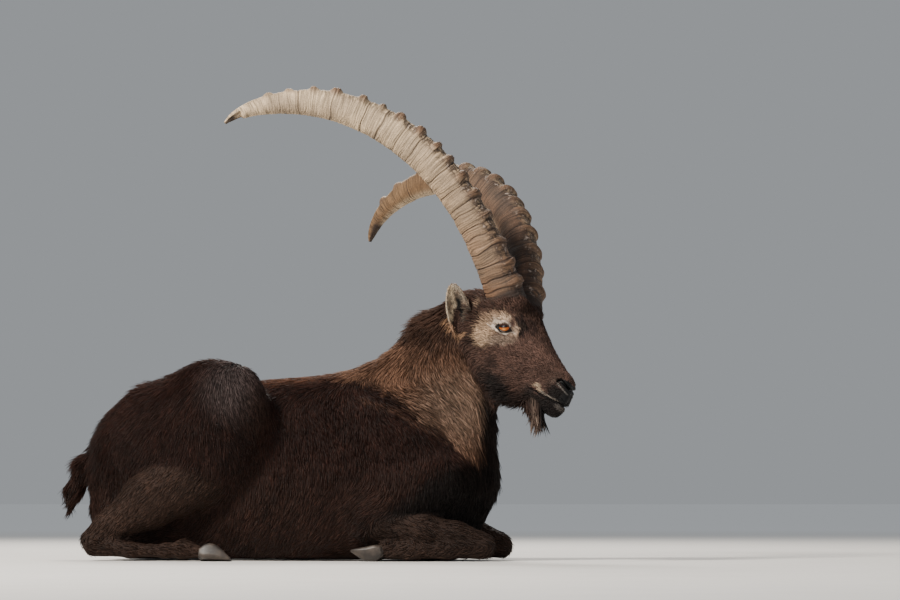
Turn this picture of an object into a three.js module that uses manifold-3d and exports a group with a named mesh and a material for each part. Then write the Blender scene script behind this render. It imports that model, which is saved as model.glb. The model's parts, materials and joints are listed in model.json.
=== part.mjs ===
// Alpine ibex: an adult male at life size, lying on its chest with its legs folded and its head up, turned to its right.
// Millimetres. +X runs forward along the back, +Y to the animal's left and +Z up. The origin is on the floor under the brisket.
// The flesh is one smooth field, cut into named parts; horns, hooves, eyes, ears and hair are built and fitted to it.
import * as THREE from "three";
import { mergeVertices } from "three/addons/utils/BufferGeometryUtils.js";
import Module from "manifold-3d";

const wasm = await Module();
wasm.setup();
const { Manifold, Mesh } = wasm;

// Driving dimensions
const WITHERS_HEIGHT = 403; // floor to the top of the shoulders, lying
const TRUNK_LENGTH = 900; // breast to buttock
const HORN_LENGTH = 816; // along the curve
const HEAD_TURN = 15; // degrees to the animal's right
const HEAD_ROLL = 15; // degrees, the right side up
const FACE_PITCH = 42; // degrees that the face points below the horizon
const PART_GAP = 0.3; // between touching parts
const HAIR_GAP = 1.5; // round long hair
const SIDES = [["right", -1], ["left", 1]];

// Small helpers for points and numbers
const at = (x, y, z) => new THREE.Vector3(x, y, z);
const mirrored = (p, side) => at(p.x, p.y * side, p.z);
const toRadians = THREE.MathUtils.degToRad;
const mix = THREE.MathUtils.lerp;
const clamp = THREE.MathUtils.clamp;

// Fields: negative inside, about a distance in millimetres

function ellipsoid(centre, radii, turn = new THREE.Euler()) {
  const back = new THREE.Matrix4().makeRotationFromEuler(turn).setPosition(centre).invert();
  const least = Math.min(radii.x, radii.y, radii.z);
  return (p) => {
    const q = p.clone().applyMatrix4(back).divide(radii);
    const r = q.length();
    const slope = q.divide(radii).length();
    return r < 1e-6 ? -least : (r * (r - 1)) / slope;
  };
}

// A tapered limb from a to b. flat is its sideways size as a share of its depth.
function taper(a, radiusA, b, radiusB, flat = 1) {
  const squash = at(1, 1 / flat, 1);
  const from = a.clone().multiply(squash);
  const along = b.clone().multiply(squash).sub(from);
  return (p) => {
    const q = p.clone().multiply(squash).sub(from);
    const share = clamp(q.dot(along) / along.lengthSq(), 0, 1);
    const away = q.addScaledVector(along, -share).length();
    return (away - mix(radiusA, radiusB, share)) * Math.min(1, flat * 1.2);
  };
}

// Values between stations, on a smooth curve through them
function between(stations, key, x) {
  const last = stations.length - 1;
  let i = 0;
  while (i < last - 1 && stations[i + 1].at < x) i++;
  const [a, b] = [stations[i], stations[i + 1]];
  const slope = (j) => {
    const lo = stations[Math.max(j - 1, 0)];
    const hi = stations[Math.min(j + 1, last)];
    return (hi[key] - lo[key]) / (hi.at - lo.at);
  };
  const width = b.at - a.at;
  const t = clamp((x - a.at) / width, 0, 1);
  const [t2, t3] = [t * t, t * t * t];
  return (2 * t3 - 3 * t2 + 1) * a[key] + (t3 - 2 * t2 + t) * width * slope(i)
    + (3 * t2 - 2 * t3) * b[key] + (t3 - t2) * width * slope(i + 1);
}

// A body along X whose sections are rounded boxes with their own half width and roundness above and below
function sections(stations, roundAbove, roundBelow) {
  const [first, last] = [stations[0].at, stations[stations.length - 1].at];
  return (p) => {
    const x = clamp(p.x, first, last);
    const [top, bottom] = [between(stations, "top", x), between(stations, "bottom", x)];
    const half = (top - bottom) / 2;
    const height = (p.z - (top + bottom) / 2) / half;
    const blend = clamp(height * 0.5 + 0.5, 0, 1);
    const width = mix(between(stations, "lower", x), between(stations, "upper", x), blend);
    const roundness = mix(roundBelow, roundAbove, blend);
    const r = (Math.abs(p.y / width) ** roundness + Math.abs(height) ** roundness) ** (1 / roundness);
    const side = (r - 1) * Math.min(half, width);
    const end = Math.abs(p.x - x);
    return end > 0 ? Math.hypot(Math.max(side, 0), end) : side;
  };
}

// Fields joined with a fillet of the given size
function joined(fillet, ...fields) {
  return (p) => fields.map((f) => f(p)).reduce((a, b) => {
    const h = Math.max(fillet - Math.abs(a - b), 0) / fillet;
    return Math.min(a, b) - (h * h * fillet) / 4;
  });
}

const placed = (matrix, field) => {
  const back = matrix.clone().invert();
  return (p) => field(p.clone().applyMatrix4(back));
};

// Closed solids

function solidOf(geometry) {
  const bare = geometry.index ? geometry.clone() : mergeVertices(geometry);
  for (const name of Object.keys(bare.attributes)) if (name !== "position") bare.deleteAttribute(name);
  const merged = mergeVertices(bare, 1e-4);
  const triVerts = new Uint32Array(merged.index.array);
  const made = new Manifold(new Mesh({ numProp: 3, vertProperties: merged.attributes.position.array, triVerts }));
  if (made.volume() > 0) return made;
  for (let i = 0; i < triVerts.length; i += 3) [triVerts[i], triVerts[i + 1]] = [triVerts[i + 1], triVerts[i]];
  return new Manifold(new Mesh({ numProp: 3, vertProperties: merged.attributes.position.array, triVerts }));
}

function geometryOf(solid) {
  const mesh = solid.getMesh();
  const position = new Float32Array(mesh.numVert * 3);
  for (let i = 0; i < mesh.numVert; i++) {
    position.set(mesh.vertProperties.subarray(i * mesh.numProp, i * mesh.numProp + 3), i * 3);
  }
  return new THREE.BufferGeometry()
    .setAttribute("position", new THREE.BufferAttribute(position, 3))
    .setIndex(new THREE.BufferAttribute(new Uint32Array(mesh.triVerts), 1));
}

// The same solid grown by a distance, so that a neighbour cut with it keeps that gap
function grown(solid, distance = PART_GAP) {
  const geometry = geometryOf(solid);
  geometry.computeVertexNormals();
  const { position, normal } = geometry.attributes;
  for (let i = 0; i < position.count; i++) {
    position.setXYZ(i, position.getX(i) + normal.getX(i) * distance,
      position.getY(i) + normal.getY(i) * distance, position.getZ(i) + normal.getZ(i) * distance);
  }
  return solidOf(geometry);
}

// The same solid with its shortest edges drawn together, so that no sliver is left along a cut
function tidied(solid, shortest = 0.5) {
  const geometry = geometryOf(solid);
  const { position } = geometry.attributes;
  const points = Array.from({ length: position.count }, (_, i) => new THREE.Vector3().fromBufferAttribute(position, i));
  const faces = [];
  const around = points.map(() => new Set());
  for (let i = 0; i < geometry.index.count; i += 3) {
    const face = [0, 1, 2].map((n) => geometry.index.getX(i + n));
    faces.push(face);
    for (const v of face) around[v].add(faces.length - 1);
  }
  const facing = ([a, b, c]) => points[b].clone().sub(points[a]).cross(points[c].clone().sub(points[a]));
  const near = (v) => new Set([...around[v]].flatMap((f) => faces[f]).filter((u) => u !== v));
  const drawTogether = (keep, drop) => {
    const shared = [...near(keep)].filter((v) => near(drop).has(v));
    if (shared.length !== 2) return false;
    const moved = [...around[drop]].filter((f) => !faces[f].includes(keep));
    const turned = moved.some((f) => {
      const [before, after] = [facing(faces[f]), facing(faces[f].map((v) => (v === drop ? keep : v)))];
      return before.length() > 0.02 && before.dot(after) < 0.3 * before.length() * after.length();
    });
    if (turned) return false;
    for (const f of [...around[drop]]) {
      const gone = faces[f].includes(keep);
      if (gone) {
        for (const v of faces[f]) around[v].delete(f);
        faces[f] = null;
      } else {
        faces[f] = faces[f].map((v) => (v === drop ? keep : v));
        around[keep].add(f);
      }
    }
    around[drop].clear();
    return true;
  };
  for (let pass = 0; pass < 4; pass++) {
    for (let f = 0; f < faces.length; f++) {
      for (let n = 0; n < 3 && faces[f]; n++) {
        const [a, b] = [faces[f][n], faces[f][(n + 1) % 3]];
        if (points[a].distanceTo(points[b]) < shortest && !drawTogether(a, b)) drawTogether(b, a);
      }
    }
  }
  const kept = faces.filter((face) => face).flat();
  return solidOf(new THREE.BufferGeometry().setFromPoints(points).setIndex(kept));
}

const largest = (solid) => solid.decompose().reduce((a, b) => (a.volume() > b.volume() ? a : b));
const fused = (solids) => solids.reduce((a, b) => a.add(b));
const carved = (solid, ...others) => largest(others.reduce((a, b) => a.subtract(grown(b)), solid));

// A surface through rings of points, closed by a fan at each end
function skinned(rings) {
  const count = rings[0].length;
  const points = rings.flat();
  const index = [];
  for (let r = 0; r < rings.length - 1; r++) {
    for (let i = 0; i < count; i++) {
      const [a, b] = [r * count + i, r * count + ((i + 1) % count)];
      index.push(a, b, b + count, a, b + count, a + count);
    }
  }
  for (const [r, flip] of [[0, true], [rings.length - 1, false]]) {
    const hub = points.length;
    points.push(rings[r].reduce((sum, p) => sum.add(p), at(0, 0, 0)).divideScalar(count));
    for (let i = 0; i < count; i++) {
      const [a, b] = [r * count + i, r * count + ((i + 1) % count)];
      index.push(...(flip ? [b, a, hub] : [a, b, hub]));
    }
  }
  return solidOf(new THREE.BufferGeometry().setFromPoints(points).setIndex(index));
}

// Evenly spaced grid lines that reach from low to high
const lines = (low, high, step) => {
  const count = Math.ceil((high - low) / step);
  return Array.from({ length: count + 1 }, (_, i) => mix(low, high, i / count));
};

// The zero surface of a field on a grid: one vertex in each crossed cell, pulled onto the surface
function surfaceOf(field, xs, ys, zs) {
  const size = [xs.length, ys.length, zs.length];
  const slot = (i, j, k) => (k * size[1] + j) * size[0] + i;
  const values = new Float64Array(size[0] * size[1] * size[2]);
  for (let k = 0; k < size[2]; k++) {
    for (let j = 0; j < size[1]; j++) {
      for (let i = 0; i < size[0]; i++) values[slot(i, j, k)] = field(at(xs[i], ys[j], zs[k])) || 1e-9;
    }
  }
  const vertexOf = new Int32Array(values.length).fill(-1);
  const points = [];
  const steps = [1, size[0], size[0] * size[1]];
  for (let k = 0; k < size[2] - 1; k++) {
    for (let j = 0; j < size[1] - 1; j++) {
      for (let i = 0; i < size[0] - 1; i++) {
        const low = at(xs[i], ys[j], zs[k]);
        const high = at(xs[i + 1], ys[j + 1], zs[k + 1]);
        const corner = (n) => at(n & 1 ? high.x : low.x, n & 2 ? high.y : low.y, n & 4 ? high.z : low.z);
        const value = (n) => values[slot(i + (n & 1), j + ((n >> 1) & 1), k + ((n >> 2) & 1))];
        const sum = at(0, 0, 0);
        let crossings = 0;
        for (let n = 0; n < 8; n++) {
          for (const bit of [1, 2, 4]) {
            const m = n | bit;
            if (m === n || value(n) < 0 === value(m) < 0) continue;
            sum.add(corner(n).lerp(corner(m), value(n) / (value(n) - value(m))));
            crossings++;
          }
        }
        if (!crossings) continue;
        vertexOf[slot(i, j, k)] = points.length;
        points.push(settled(field, sum.divideScalar(crossings), low, high));
      }
    }
  }
  const index = [];
  for (let k = 1; k < size[2] - 1; k++) {
    for (let j = 1; j < size[1] - 1; j++) {
      for (let i = 1; i < size[0] - 1; i++) {
        const here = slot(i, j, k);
        for (let axis = 0; axis < 3; axis++) {
          const inside = values[here] < 0;
          if (inside === values[here + steps[axis]] < 0) continue;
          const [u, v] = [steps[(axis + 1) % 3], steps[(axis + 2) % 3]];
          const [a, b, c, d] = [here - u - v, here - v, here, here - u].map((n) => vertexOf[n]);
          const short = points[a].distanceTo(points[c]) < points[b].distanceTo(points[d]);
          const quad = short ? [a, b, c, a, c, d] : [a, b, d, b, c, d];
          index.push(...(inside ? quad : quad.reverse()));
        }
      }
    }
  }
  return solidOf(new THREE.BufferGeometry().setFromPoints(points).setIndex(index));
}

// A point moved onto the field's zero surface, without leaving its cell
function settled(field, point, low, high) {
  const reach = 0.5;
  const axes = [at(reach, 0, 0), at(0, reach, 0), at(0, 0, reach)];
  for (let step = 0; step < 3; step++) {
    const slope = axes.map((e) => (field(point.clone().add(e)) - field(point.clone().sub(e))) / (2 * reach));
    const lengthSq = slope.reduce((sum, g) => sum + g * g, 0);
    if (lengthSq < 1e-6) break;
    point.addScaledVector(at(...slope), -field(point) / lengthSq);
    point.clamp(low, high);
  }
  return point;
}

// The head's frames: level, and pitched along the face. The horns start at their origin.
const HORN_ROOTS = at(143, -15, 539);
const forward = at(1, 0, 0).applyAxisAngle(at(0, 0, 1), -toRadians(HEAD_TURN));
const leftward = at(0, 0, 1).cross(forward).applyAxisAngle(forward, -toRadians(HEAD_ROLL));
const upward = forward.clone().cross(leftward);
const headFrame = new THREE.Matrix4().makeBasis(forward, leftward, upward).setPosition(HORN_ROOTS);
const faceFrame = headFrame.clone().multiply(new THREE.Matrix4().makeRotationY(toRadians(FACE_PITCH)));
const onHead = (x, y, z) => at(x, y, z).applyMatrix4(headFrame);
const onFace = (x, y, z) => at(x, y, z).applyMatrix4(faceFrame);

// Trunk, from the buttocks to the breast
const BREAST_END = 105;
const RUMP_END = BREAST_END - TRUNK_LENGTH;
const trunkStations = [
  { at: RUMP_END + 20, top: 252, bottom: 74, upper: 34, lower: 44 },
  { at: -740, top: 294, bottom: 18, upper: 66, lower: 88 },
  { at: -660, top: 342, bottom: -8, upper: 94, lower: 128 },
  { at: -560, top: 366, bottom: -10, upper: 108, lower: 150 },
  { at: -450, top: 380, bottom: -10, upper: 112, lower: 158 },
  { at: -340, top: 388, bottom: -12, upper: 120, lower: 172 },
  { at: -250, top: 396, bottom: -12, upper: 116, lower: 172 },
  { at: -180, top: WITHERS_HEIGHT, bottom: -12, upper: 98, lower: 158 },
  { at: -100, top: 388, bottom: -8, upper: 92, lower: 136 },
  { at: -10, top: 320, bottom: -9, upper: 84, lower: 106 },
  { at: 50, top: 255, bottom: 30, upper: 62, lower: 70 },
];
const trunk = sections(trunkStations, 2.1, 3.2);
const breast = ellipsoid(at(12, 0, 185), at(92, 90, 135));

// Neck, thickest where it leaves the shoulders
const NECK_WIDTH = 0.66; // sideways, as a share of its depth
const neckJoints = [
  { place: at(-118, 0, 235), radius: 172 },
  { place: at(-36, -3, 338), radius: 132 },
  { place: at(12, -8, 431), radius: 101 },
  { place: at(60, -14, 480), radius: 81 },
];
const neckParts = neckJoints.slice(1).map((joint, i) =>
  taper(neckJoints[i].place, neckJoints[i].radius, joint.place, joint.radius, NECK_WIDTH));
const neckField = joined(30, ...neckParts);

// Shoulders and haunches. The right haunch is the raised one.
const shoulder = (side) => joined(45,
  ellipsoid(at(-100, 92 * side, 235), at(92, 46, 132), new THREE.Euler(0.12 * side, 0.42, 0)),
  taper(at(4, 84 * side, 170), 58, at(-136, 122 * side, 88), 50));
const haunches = {
  right: joined(50,
    ellipsoid(at(-482, -128, 276), at(118, 88, 146)),
    ellipsoid(at(-414, -158, 324), at(48, 52, 76)),
    ellipsoid(at(-606, -90, 240), at(148, 84, 130), new THREE.Euler(0, -0.4, -0.28))),
  left: joined(50,
    ellipsoid(at(-490, 138, 196), at(130, 92, 138)),
    ellipsoid(at(-414, 176, 190), at(62, 54, 76)),
    ellipsoid(at(-606, 92, 186), at(150, 86, 130), new THREE.Euler(0, -0.3, 0.28))),
};

// Head, along the face. top and bottom are heights over and under the line from the horns to the lips.
const headStations = [
  { at: -78, top: -48, bottom: -128, upper: 40, lower: 42 },
  { at: -40, top: -12, bottom: -164, upper: 54, lower: 54 },
  { at: 0, top: 12, bottom: -176, upper: 58, lower: 55 },
  { at: 30, top: 24, bottom: -178, upper: 58, lower: 53 },
  { at: 56, top: 24, bottom: -177, upper: 52, lower: 50 },
  { at: 80, top: 16, bottom: -174, upper: 45, lower: 47 },
  { at: 104, top: 8, bottom: -172, upper: 39, lower: 43 },
  { at: 137, top: -2, bottom: -166, upper: 34, lower: 36 },
  { at: 168, top: -10, bottom: -152, upper: 29, lower: 30 },
  { at: 195, top: -19, bottom: -127, upper: 26, lower: 25 },
  { at: 218, top: -27, bottom: -112, upper: 24, lower: 22 },
  { at: 234, top: -36, bottom: -104, upper: 21, lower: 18 },
  { at: 245, top: -48, bottom: -98, upper: 15, lower: 13 },
  { at: 252, top: -60, bottom: -92, upper: 8, lower: 8 },
];
const faceParts = (side) => [
  ellipsoid(at(52, 33 * side, -46), at(38, 20, 30)),
  taper(at(24, 40 * side, -18), 13, at(92, 26 * side, -24), 5),
  ellipsoid(at(86, 27 * side, -112), at(66, 18, 50)),
  ellipsoid(at(222, 12 * side, -45), at(18, 12, 16)),
  taper(at(186, 17 * side, -80), 10, at(243, 8 * side, -64), 9),
  taper(at(186, 14 * side, -103), 9, at(240, 7 * side, -89), 9),
];
const faceField = joined(20, sections(headStations, 2.3, 2.3), ...faceParts(1), ...faceParts(-1),
  ellipsoid(at(238, 0, -96), at(22, 15, 14)));
const crown = joined(24, ellipsoid(at(-38, 0, -50), at(58, 55, 54)),
  ...SIDES.map(([, side]) => ellipsoid(at(2, 40 * side, -16), at(44, 34, 27))));
const headField = joined(18, placed(faceFrame, faceField), placed(headFrame, crown));

// The whole flesh
const torsoField = joined(40, trunk, breast, shoulder(1), shoulder(-1), haunches.right, haunches.left);
const flesh = joined(42, joined(48, torsoField, neckField), headField);

// Cuts between parts, each a plane with its gap
const halfSpace = (point, normal, size = 3000) => {
  const box = new THREE.BoxGeometry(size, size, size);
  const facing = new THREE.Quaternion().setFromUnitVectors(at(0, 0, 1), normal.clone().normalize());
  box.translate(0, 0, size / 2).applyQuaternion(facing).translate(point.x, point.y, point.z);
  return solidOf(box);
};
const cutAt = (point, normal) => {
  const unit = normal.clone().normalize();
  return {
    point,
    normal: unit,
    ahead: halfSpace(point.clone().addScaledVector(unit, PART_GAP / 2), unit),
    behind: halfSpace(point.clone().addScaledVector(unit, -PART_GAP / 2), unit.clone().negate()),
  };
};
const neckCut = cutAt(at(-160, 0, 412), at(0.61, 0, 0.793));
const headCut = cutAt(at(46, -5, 452), at(0.885, -0.17, 0.43));
const floor = halfSpace(at(0, 0, 0), at(0, 0, 1));

// Flesh of the body and of the head, on a coarse and a fine grid, each ended a little past the cut between them
const BODY_CELL = 48;
const HEAD_CELL = 14;
const NAPE_CELL = 19;
const OVERLAP = 45;
const pastCut = (p) => headCut.point.clone().sub(p).dot(headCut.normal);
const bodyField = (p) => Math.max(flesh(p), -pastCut(p) - OVERLAP);
const headGrid = (q) => {
  const p = q.clone().applyMatrix4(faceFrame);
  return Math.max(flesh(p), pastCut(p) - OVERLAP / 2);
};
const bodySkin = surfaceOf(bodyField, lines(-890, 300, BODY_CELL), lines(-290, 290, BODY_CELL), lines(-90, 680, BODY_CELL));
const headSkin = surfaceOf(headGrid, [...lines(-190, 5, NAPE_CELL), ...lines(5 + HEAD_CELL, 290, HEAD_CELL)],
  lines(-130, 130, HEAD_CELL), [...lines(-330, -190, NAPE_CELL), ...lines(-190 + HEAD_CELL, 130, HEAD_CELL)])
  .transform(faceFrame.elements);

const nodes = {};
nodes.head = headSkin.intersect(headCut.ahead);
nodes.neck = largest(bodySkin.intersect(headCut.behind).intersect(neckCut.ahead));
nodes.torso = largest(bodySkin.intersect(neckCut.behind).intersect(floor));

// Horns: a curve back and outwards, with a bar across the front face at each year's growth
const hornShape = {
  right: {
    length: HORN_LENGTH - 12,
    lean: [16.2, 41.9, 77.9],
    spread: [26.5, -4, 6.9],
    bars: [0.03, 0.08, 0.135, 0.21, 0.27, 0.323, 0.375, 0.419, 0.474, 0.534, 0.583, 0.635, 0.703, 0.758, 0.818, 0.87],
  },
  left: {
    length: HORN_LENGTH + 12,
    lean: [12.6, 49.3, 87.3],
    spread: [20.3, -6.8, 5.9],
    bars: [0.045, 0.118, 0.178, 0.243, 0.31, 0.36, 0.412, 0.472, 0.529, 0.589, 0.66, 0.74, 0.826, 0.885],
  },
};
const HORN_APART = 43; // each root from the middle
const HORN_ROOT = 34; // length sunk in the head
const hornDepths = [
  { at: -0.05, depth: 84, width: 64 },
  { at: 0, depth: 84, width: 64 },
  { at: 0.12, depth: 79, width: 61 },
  { at: 0.25, depth: 75, width: 57 },
  { at: 0.5, depth: 75, width: 52 },
  { at: 0.68, depth: 66, width: 46 },
  { at: 0.82, depth: 51, width: 37 },
  { at: 0.92, depth: 34, width: 26 },
  { at: 0.975, depth: 20, width: 16 },
  { at: 1, depth: 7, width: 6 },
];
const HORN_BAR_LIFT = 7;
const HORN_SIDES = 8;

function horn(side, { length, lean, spread, bars }) {
  const curve = (terms, s) => toRadians(terms[0] + terms[1] * s + terms[2] * s * s);
  const start = -HORN_ROOT / length;
  const steps = 400;
  const place = at(0, HORN_APART * side, 0);
  const track = [];
  const heading = (s) => {
    const [back, out] = [curve(lean, Math.max(s, 0)), curve(spread, Math.max(s, 0))];
    return at(-Math.sin(back) * Math.cos(out), side * Math.sin(out), Math.cos(back) * Math.cos(out));
  };
  place.addScaledVector(heading(0), start * length);
  for (let i = 0; i <= steps; i++) {
    const s = mix(start, 1, i / steps);
    track.push({ s, place: place.clone(), along: heading(s) });
    place.addScaledVector(heading(s), ((1 - start) * length) / steps);
  }
  const stops = [start, 0];
  for (const bar of bars) stops.push(bar - 0.015, bar - 0.003, bar + 0.004, bar + 0.013);
  stops.push(0.93, 0.955, 0.975, 0.99, 1);
  const rings = stops.map((s) => {
    const spot = track[Math.round(((s - start) / (1 - start)) * steps)];
    const outward = at(0, side, 0).addScaledVector(spot.along, -side * spot.along.y).normalize();
    const front = outward.clone().cross(spot.along).multiplyScalar(side).normalize();
    const onBar = bars.some((bar) => Math.abs(bar - s) < 0.005);
    const depth = between(hornDepths, "depth", s) / 2;
    const width = between(hornDepths, "width", s) / 2;
    const lift = onBar ? HORN_BAR_LIFT * Math.min(1, (1.02 - s) * 4) : 0;
    return Array.from({ length: HORN_SIDES }, (_, i) => {
      const turn = ((i + 0.5) / HORN_SIDES) * 2 * Math.PI;
      const [c, d] = [Math.cos(turn), Math.sin(turn)];
      const square = (v) => Math.sign(v) * Math.abs(v) ** 0.8;
      const ahead = c > 0 ? square(c) * depth * 0.88 + lift * c : square(c) * depth * 1.05;
      const aside = square(d) * width * (c > 0 ? 1 : 1 - 0.3 * c * c);
      return spot.place.clone().addScaledVector(front, ahead).addScaledVector(outward, aside * side);
    });
  });
  return skinned(rings).transform(headFrame.elements);
}
for (const [name, side] of SIDES) nodes[`horn_${name}`] = horn(side, hornShape[name]);
nodes.head = carved(nodes.head, nodes.horn_right, nodes.horn_left);

// The flesh's surface on the way from a point outside to a point inside
function surfaceBetween(outside, inside, field = flesh) {
  const [out, into] = [outside.clone(), inside.clone()];
  for (let i = 0; i < 24; i++) {
    const half = out.clone().lerp(into, 0.5);
    (field(half) > 0 ? out : into).copy(half);
  }
  return out;
}

// A tube through points, with its own radius at each, rounded off at both ends
function tube(points, radii, sides = 6, flat = 1) {
  const curve = new THREE.CatmullRomCurve3(points);
  const last = points.length - 1;
  const rings = [];
  const stops = [0, 0.03, ...Array.from({ length: last - 1 }, (_, i) => (i + 1) / last), 0.97, 1];
  for (const t of stops) {
    const along = curve.getTangent(t);
    const wide = at(0, 0, 1).cross(along).normalize();
    const tall = along.clone().cross(wide);
    const i = Math.min(Math.floor(t * last), last - 1);
    const radius = mix(radii[i], radii[i + 1], t * last - i) * (t === 0 || t === 1 ? 0.35 : 1);
    rings.push(Array.from({ length: sides }, (_, n) => {
      const turn = (n / sides) * 2 * Math.PI;
      return curve.getPoint(t).addScaledVector(wide, Math.cos(turn) * radius * flat)
        .addScaledVector(tall, Math.sin(turn) * radius);
    }));
  }
  return skinned(rings);
}

// A closed ring of tube through points
function loop(points, radius, sides = 4) {
  const centre = points.reduce((sum, q) => sum.add(q), at(0, 0, 0)).divideScalar(points.length);
  const count = points.length;
  const all = points.flatMap((q, i) => {
    const along = points[(i + 1) % count].clone().sub(points[(i + count - 1) % count]).normalize();
    const away = q.clone().sub(centre);
    away.addScaledVector(along, -away.dot(along)).normalize();
    const third = along.clone().cross(away);
    return Array.from({ length: sides }, (_, n) => {
      const turn = (n / sides) * 2 * Math.PI;
      return q.clone().addScaledVector(away, Math.cos(turn) * radius).addScaledVector(third, Math.sin(turn) * radius);
    });
  });
  const index = [];
  for (let i = 0; i < count; i++) {
    for (let n = 0; n < sides; n++) {
      const [m, j] = [(n + 1) % sides, (i + 1) % count];
      const [a, b, c, d] = [i * sides + n, i * sides + m, j * sides + m, j * sides + n];
      index.push(a, b, c, a, c, d);
    }
  }
  return solidOf(new THREE.BufferGeometry().setFromPoints(all).setIndex(index));
}

// Eyes in their sockets, under lids that leave an almond open
const EYE_PLACE = at(55, 40, -49); // left side, in the face frame
const EYE_RADIUS = 18.5;
const LID_WIDTH = 20.5; // half the opening, corner to corner
const LID_HEIGHT = 8.5;
const LID_TILT = 22; // degrees, the front corner up
for (const [name, side] of SIDES) {
  const centre = mirrored(EYE_PLACE, side);
  const eye = solidOf(new THREE.SphereGeometry(EYE_RADIUS, 12, 8).rotateX(Math.PI / 2)
    .translate(centre.x, centre.y, centre.z)).transform(faceFrame.elements);
  const almond = (share, out) => Array.from({ length: 12 }, (_, i) => {
    const turn = (i / 12) * 2 * Math.PI;
    const [u, v] = [Math.cos(turn) * LID_WIDTH * share, Math.sin(turn) * LID_HEIGHT * share];
    const tilt = toRadians(LID_TILT);
    const [x, z] = [u * Math.cos(tilt) - v * Math.sin(tilt), u * Math.sin(tilt) + v * Math.cos(tilt)];
    return at(centre.x + x, centre.y + side * out(x, z), centre.z + z);
  });
  const onEye = (x, z) => Math.sqrt(Math.max((EYE_RADIUS + 1.5) ** 2 - x * x - z * z, 9));
  const opening = skinned([almond(0.85, () => 6), almond(1, () => 14), almond(1.3, () => 40)]);
  const lid = loop(almond(1, onEye), 4.2);
  nodes[`eye_${name}`] = eye;
  nodes.head = nodes.head.subtract(opening.transform(faceFrame.elements)).add(lid.transform(faceFrame.elements));
}

// Lips, the line of the mouth between them, and the nostrils, all laid along the muzzle's surface
const faceSurface = (x, y, z) => surfaceBetween(at(x, y * 60, z), at(x - 30, 0, z), headGrid);
for (const [, side] of SIDES) {
  const mouth = [[188, -94], [206, -89], [222, -84.5], [238, -79], [251, -74]];
  const along = (lift) => mouth.map(([x, z]) => faceSurface(x, side, z + lift));
  const upperLip = tube(along(4.5), [2, 4.5, 5, 4.8, 4], 5);
  const lowerLip = tube(along(-4.5), [2, 4, 4.6, 4.4, 4], 5);
  const groove = tube(along(0), [1.5, 2.4, 2.4, 2.6, 2.6], 4);
  const nostrilLine = [[238, -46], [229, -44.5], [221, -42.5], [213, -41]];
  const nostril = tube(nostrilLine.map(([x, z]) => faceSurface(x, side, z)), [2.5, 4, 5, 4], 5);
  nodes.head = nodes.head.add(upperLip.transform(faceFrame.elements)).add(lowerLip.transform(faceFrame.elements))
    .subtract(groove.transform(faceFrame.elements)).subtract(nostril.transform(faceFrame.elements));
}
nodes.head = carved(nodes.head, nodes.eye_right, nodes.eye_left);

// Ears: a leaf with a hollow front, on a root in the side of the head
const EAR_LENGTH = 108;
const earPlan = {
  right: { root: at(-82, -55, -86), tip: at(-101, -93, 4), faces: at(0.5, -0.86, -0.1) },
  left: { root: at(-80, 55, -88), tip: at(-112, 104, -8), faces: at(0.62, 0.78, -0.1) },
};
function ear({ root, tip, faces }) {
  const along = tip.clone().sub(root).normalize();
  const front = faces.clone().addScaledVector(along, -faces.dot(along)).normalize();
  const across = along.clone().cross(front);
  const leaf = (share) => 27 * Math.sin(Math.PI * Math.min(1, 0.2 + share * 0.8)) ** 0.5 + 1.5;
  const ring = (share, wide, deep, shift) => {
    const hub = root.clone().addScaledVector(along, share * EAR_LENGTH).addScaledVector(front, shift);
    return Array.from({ length: 10 }, (_, i) => {
      const turn = (i / 10) * 2 * Math.PI;
      const bow = Math.cos(turn) ** 2 * wide * 0.22;
      return hub.clone().addScaledVector(across, Math.cos(turn) * wide)
        .addScaledVector(front, Math.sin(turn) * deep + bow);
    });
  };
  const shares = [-0.16, 0.02, 0.16, 0.32, 0.5, 0.68, 0.84, 0.95, 1];
  const outer = skinned(shares.map((share) => ring(share, share < 0.1 ? 15 : leaf(share), share < 0.1 ? 13 : 11 - 5 * share, 0)));
  const hollows = [0.16, 0.26, 0.42, 0.58, 0.74, 0.88];
  const inner = skinned(hollows.map((share) => ring(share, (leaf(share) - 5) * (share < 0.2 ? 0.5 : 1), 9, 11)));
  return outer.subtract(inner).transform(headFrame.elements);
}
for (const [name] of SIDES) nodes[`ear_${name}`] = largest(ear(earPlan[name]));
nodes.head = carved(nodes.head, nodes.ear_right, nodes.ear_left);

// Cuts through the body: a straight one behind the ribs, rounded ones around the shoulders and thighs
const roundCut = (centre, radii) => solidOf(new THREE.SphereGeometry(1, 20, 12)
  .scale(radii.x, radii.y, radii.z).translate(centre.x, centre.y, centre.z));
const rumpCut = cutAt(at(-318, 0, 300), at(1, 0, 0.12));
const cutters = {
  shoulder_right: roundCut(at(-84, -172, 175), at(118, 96, 170)),
  shoulder_left: roundCut(at(-84, 172, 175), at(118, 96, 170)),
  thigh_right: roundCut(at(-560, -205, 232), at(232, 118, 225)),
  thigh_left: roundCut(at(-560, 212, 182), at(232, 118, 200)),
};
for (const [name, cutter] of Object.entries(cutters)) {
  nodes[name] = largest(nodes.torso.intersect(cutter));
  nodes.torso = largest(nodes.torso.subtract(grown(cutter)));
}
nodes.rump = largest(nodes.torso.intersect(rumpCut.behind));
nodes.torso = largest(nodes.torso.intersect(rumpCut.ahead));

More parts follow.
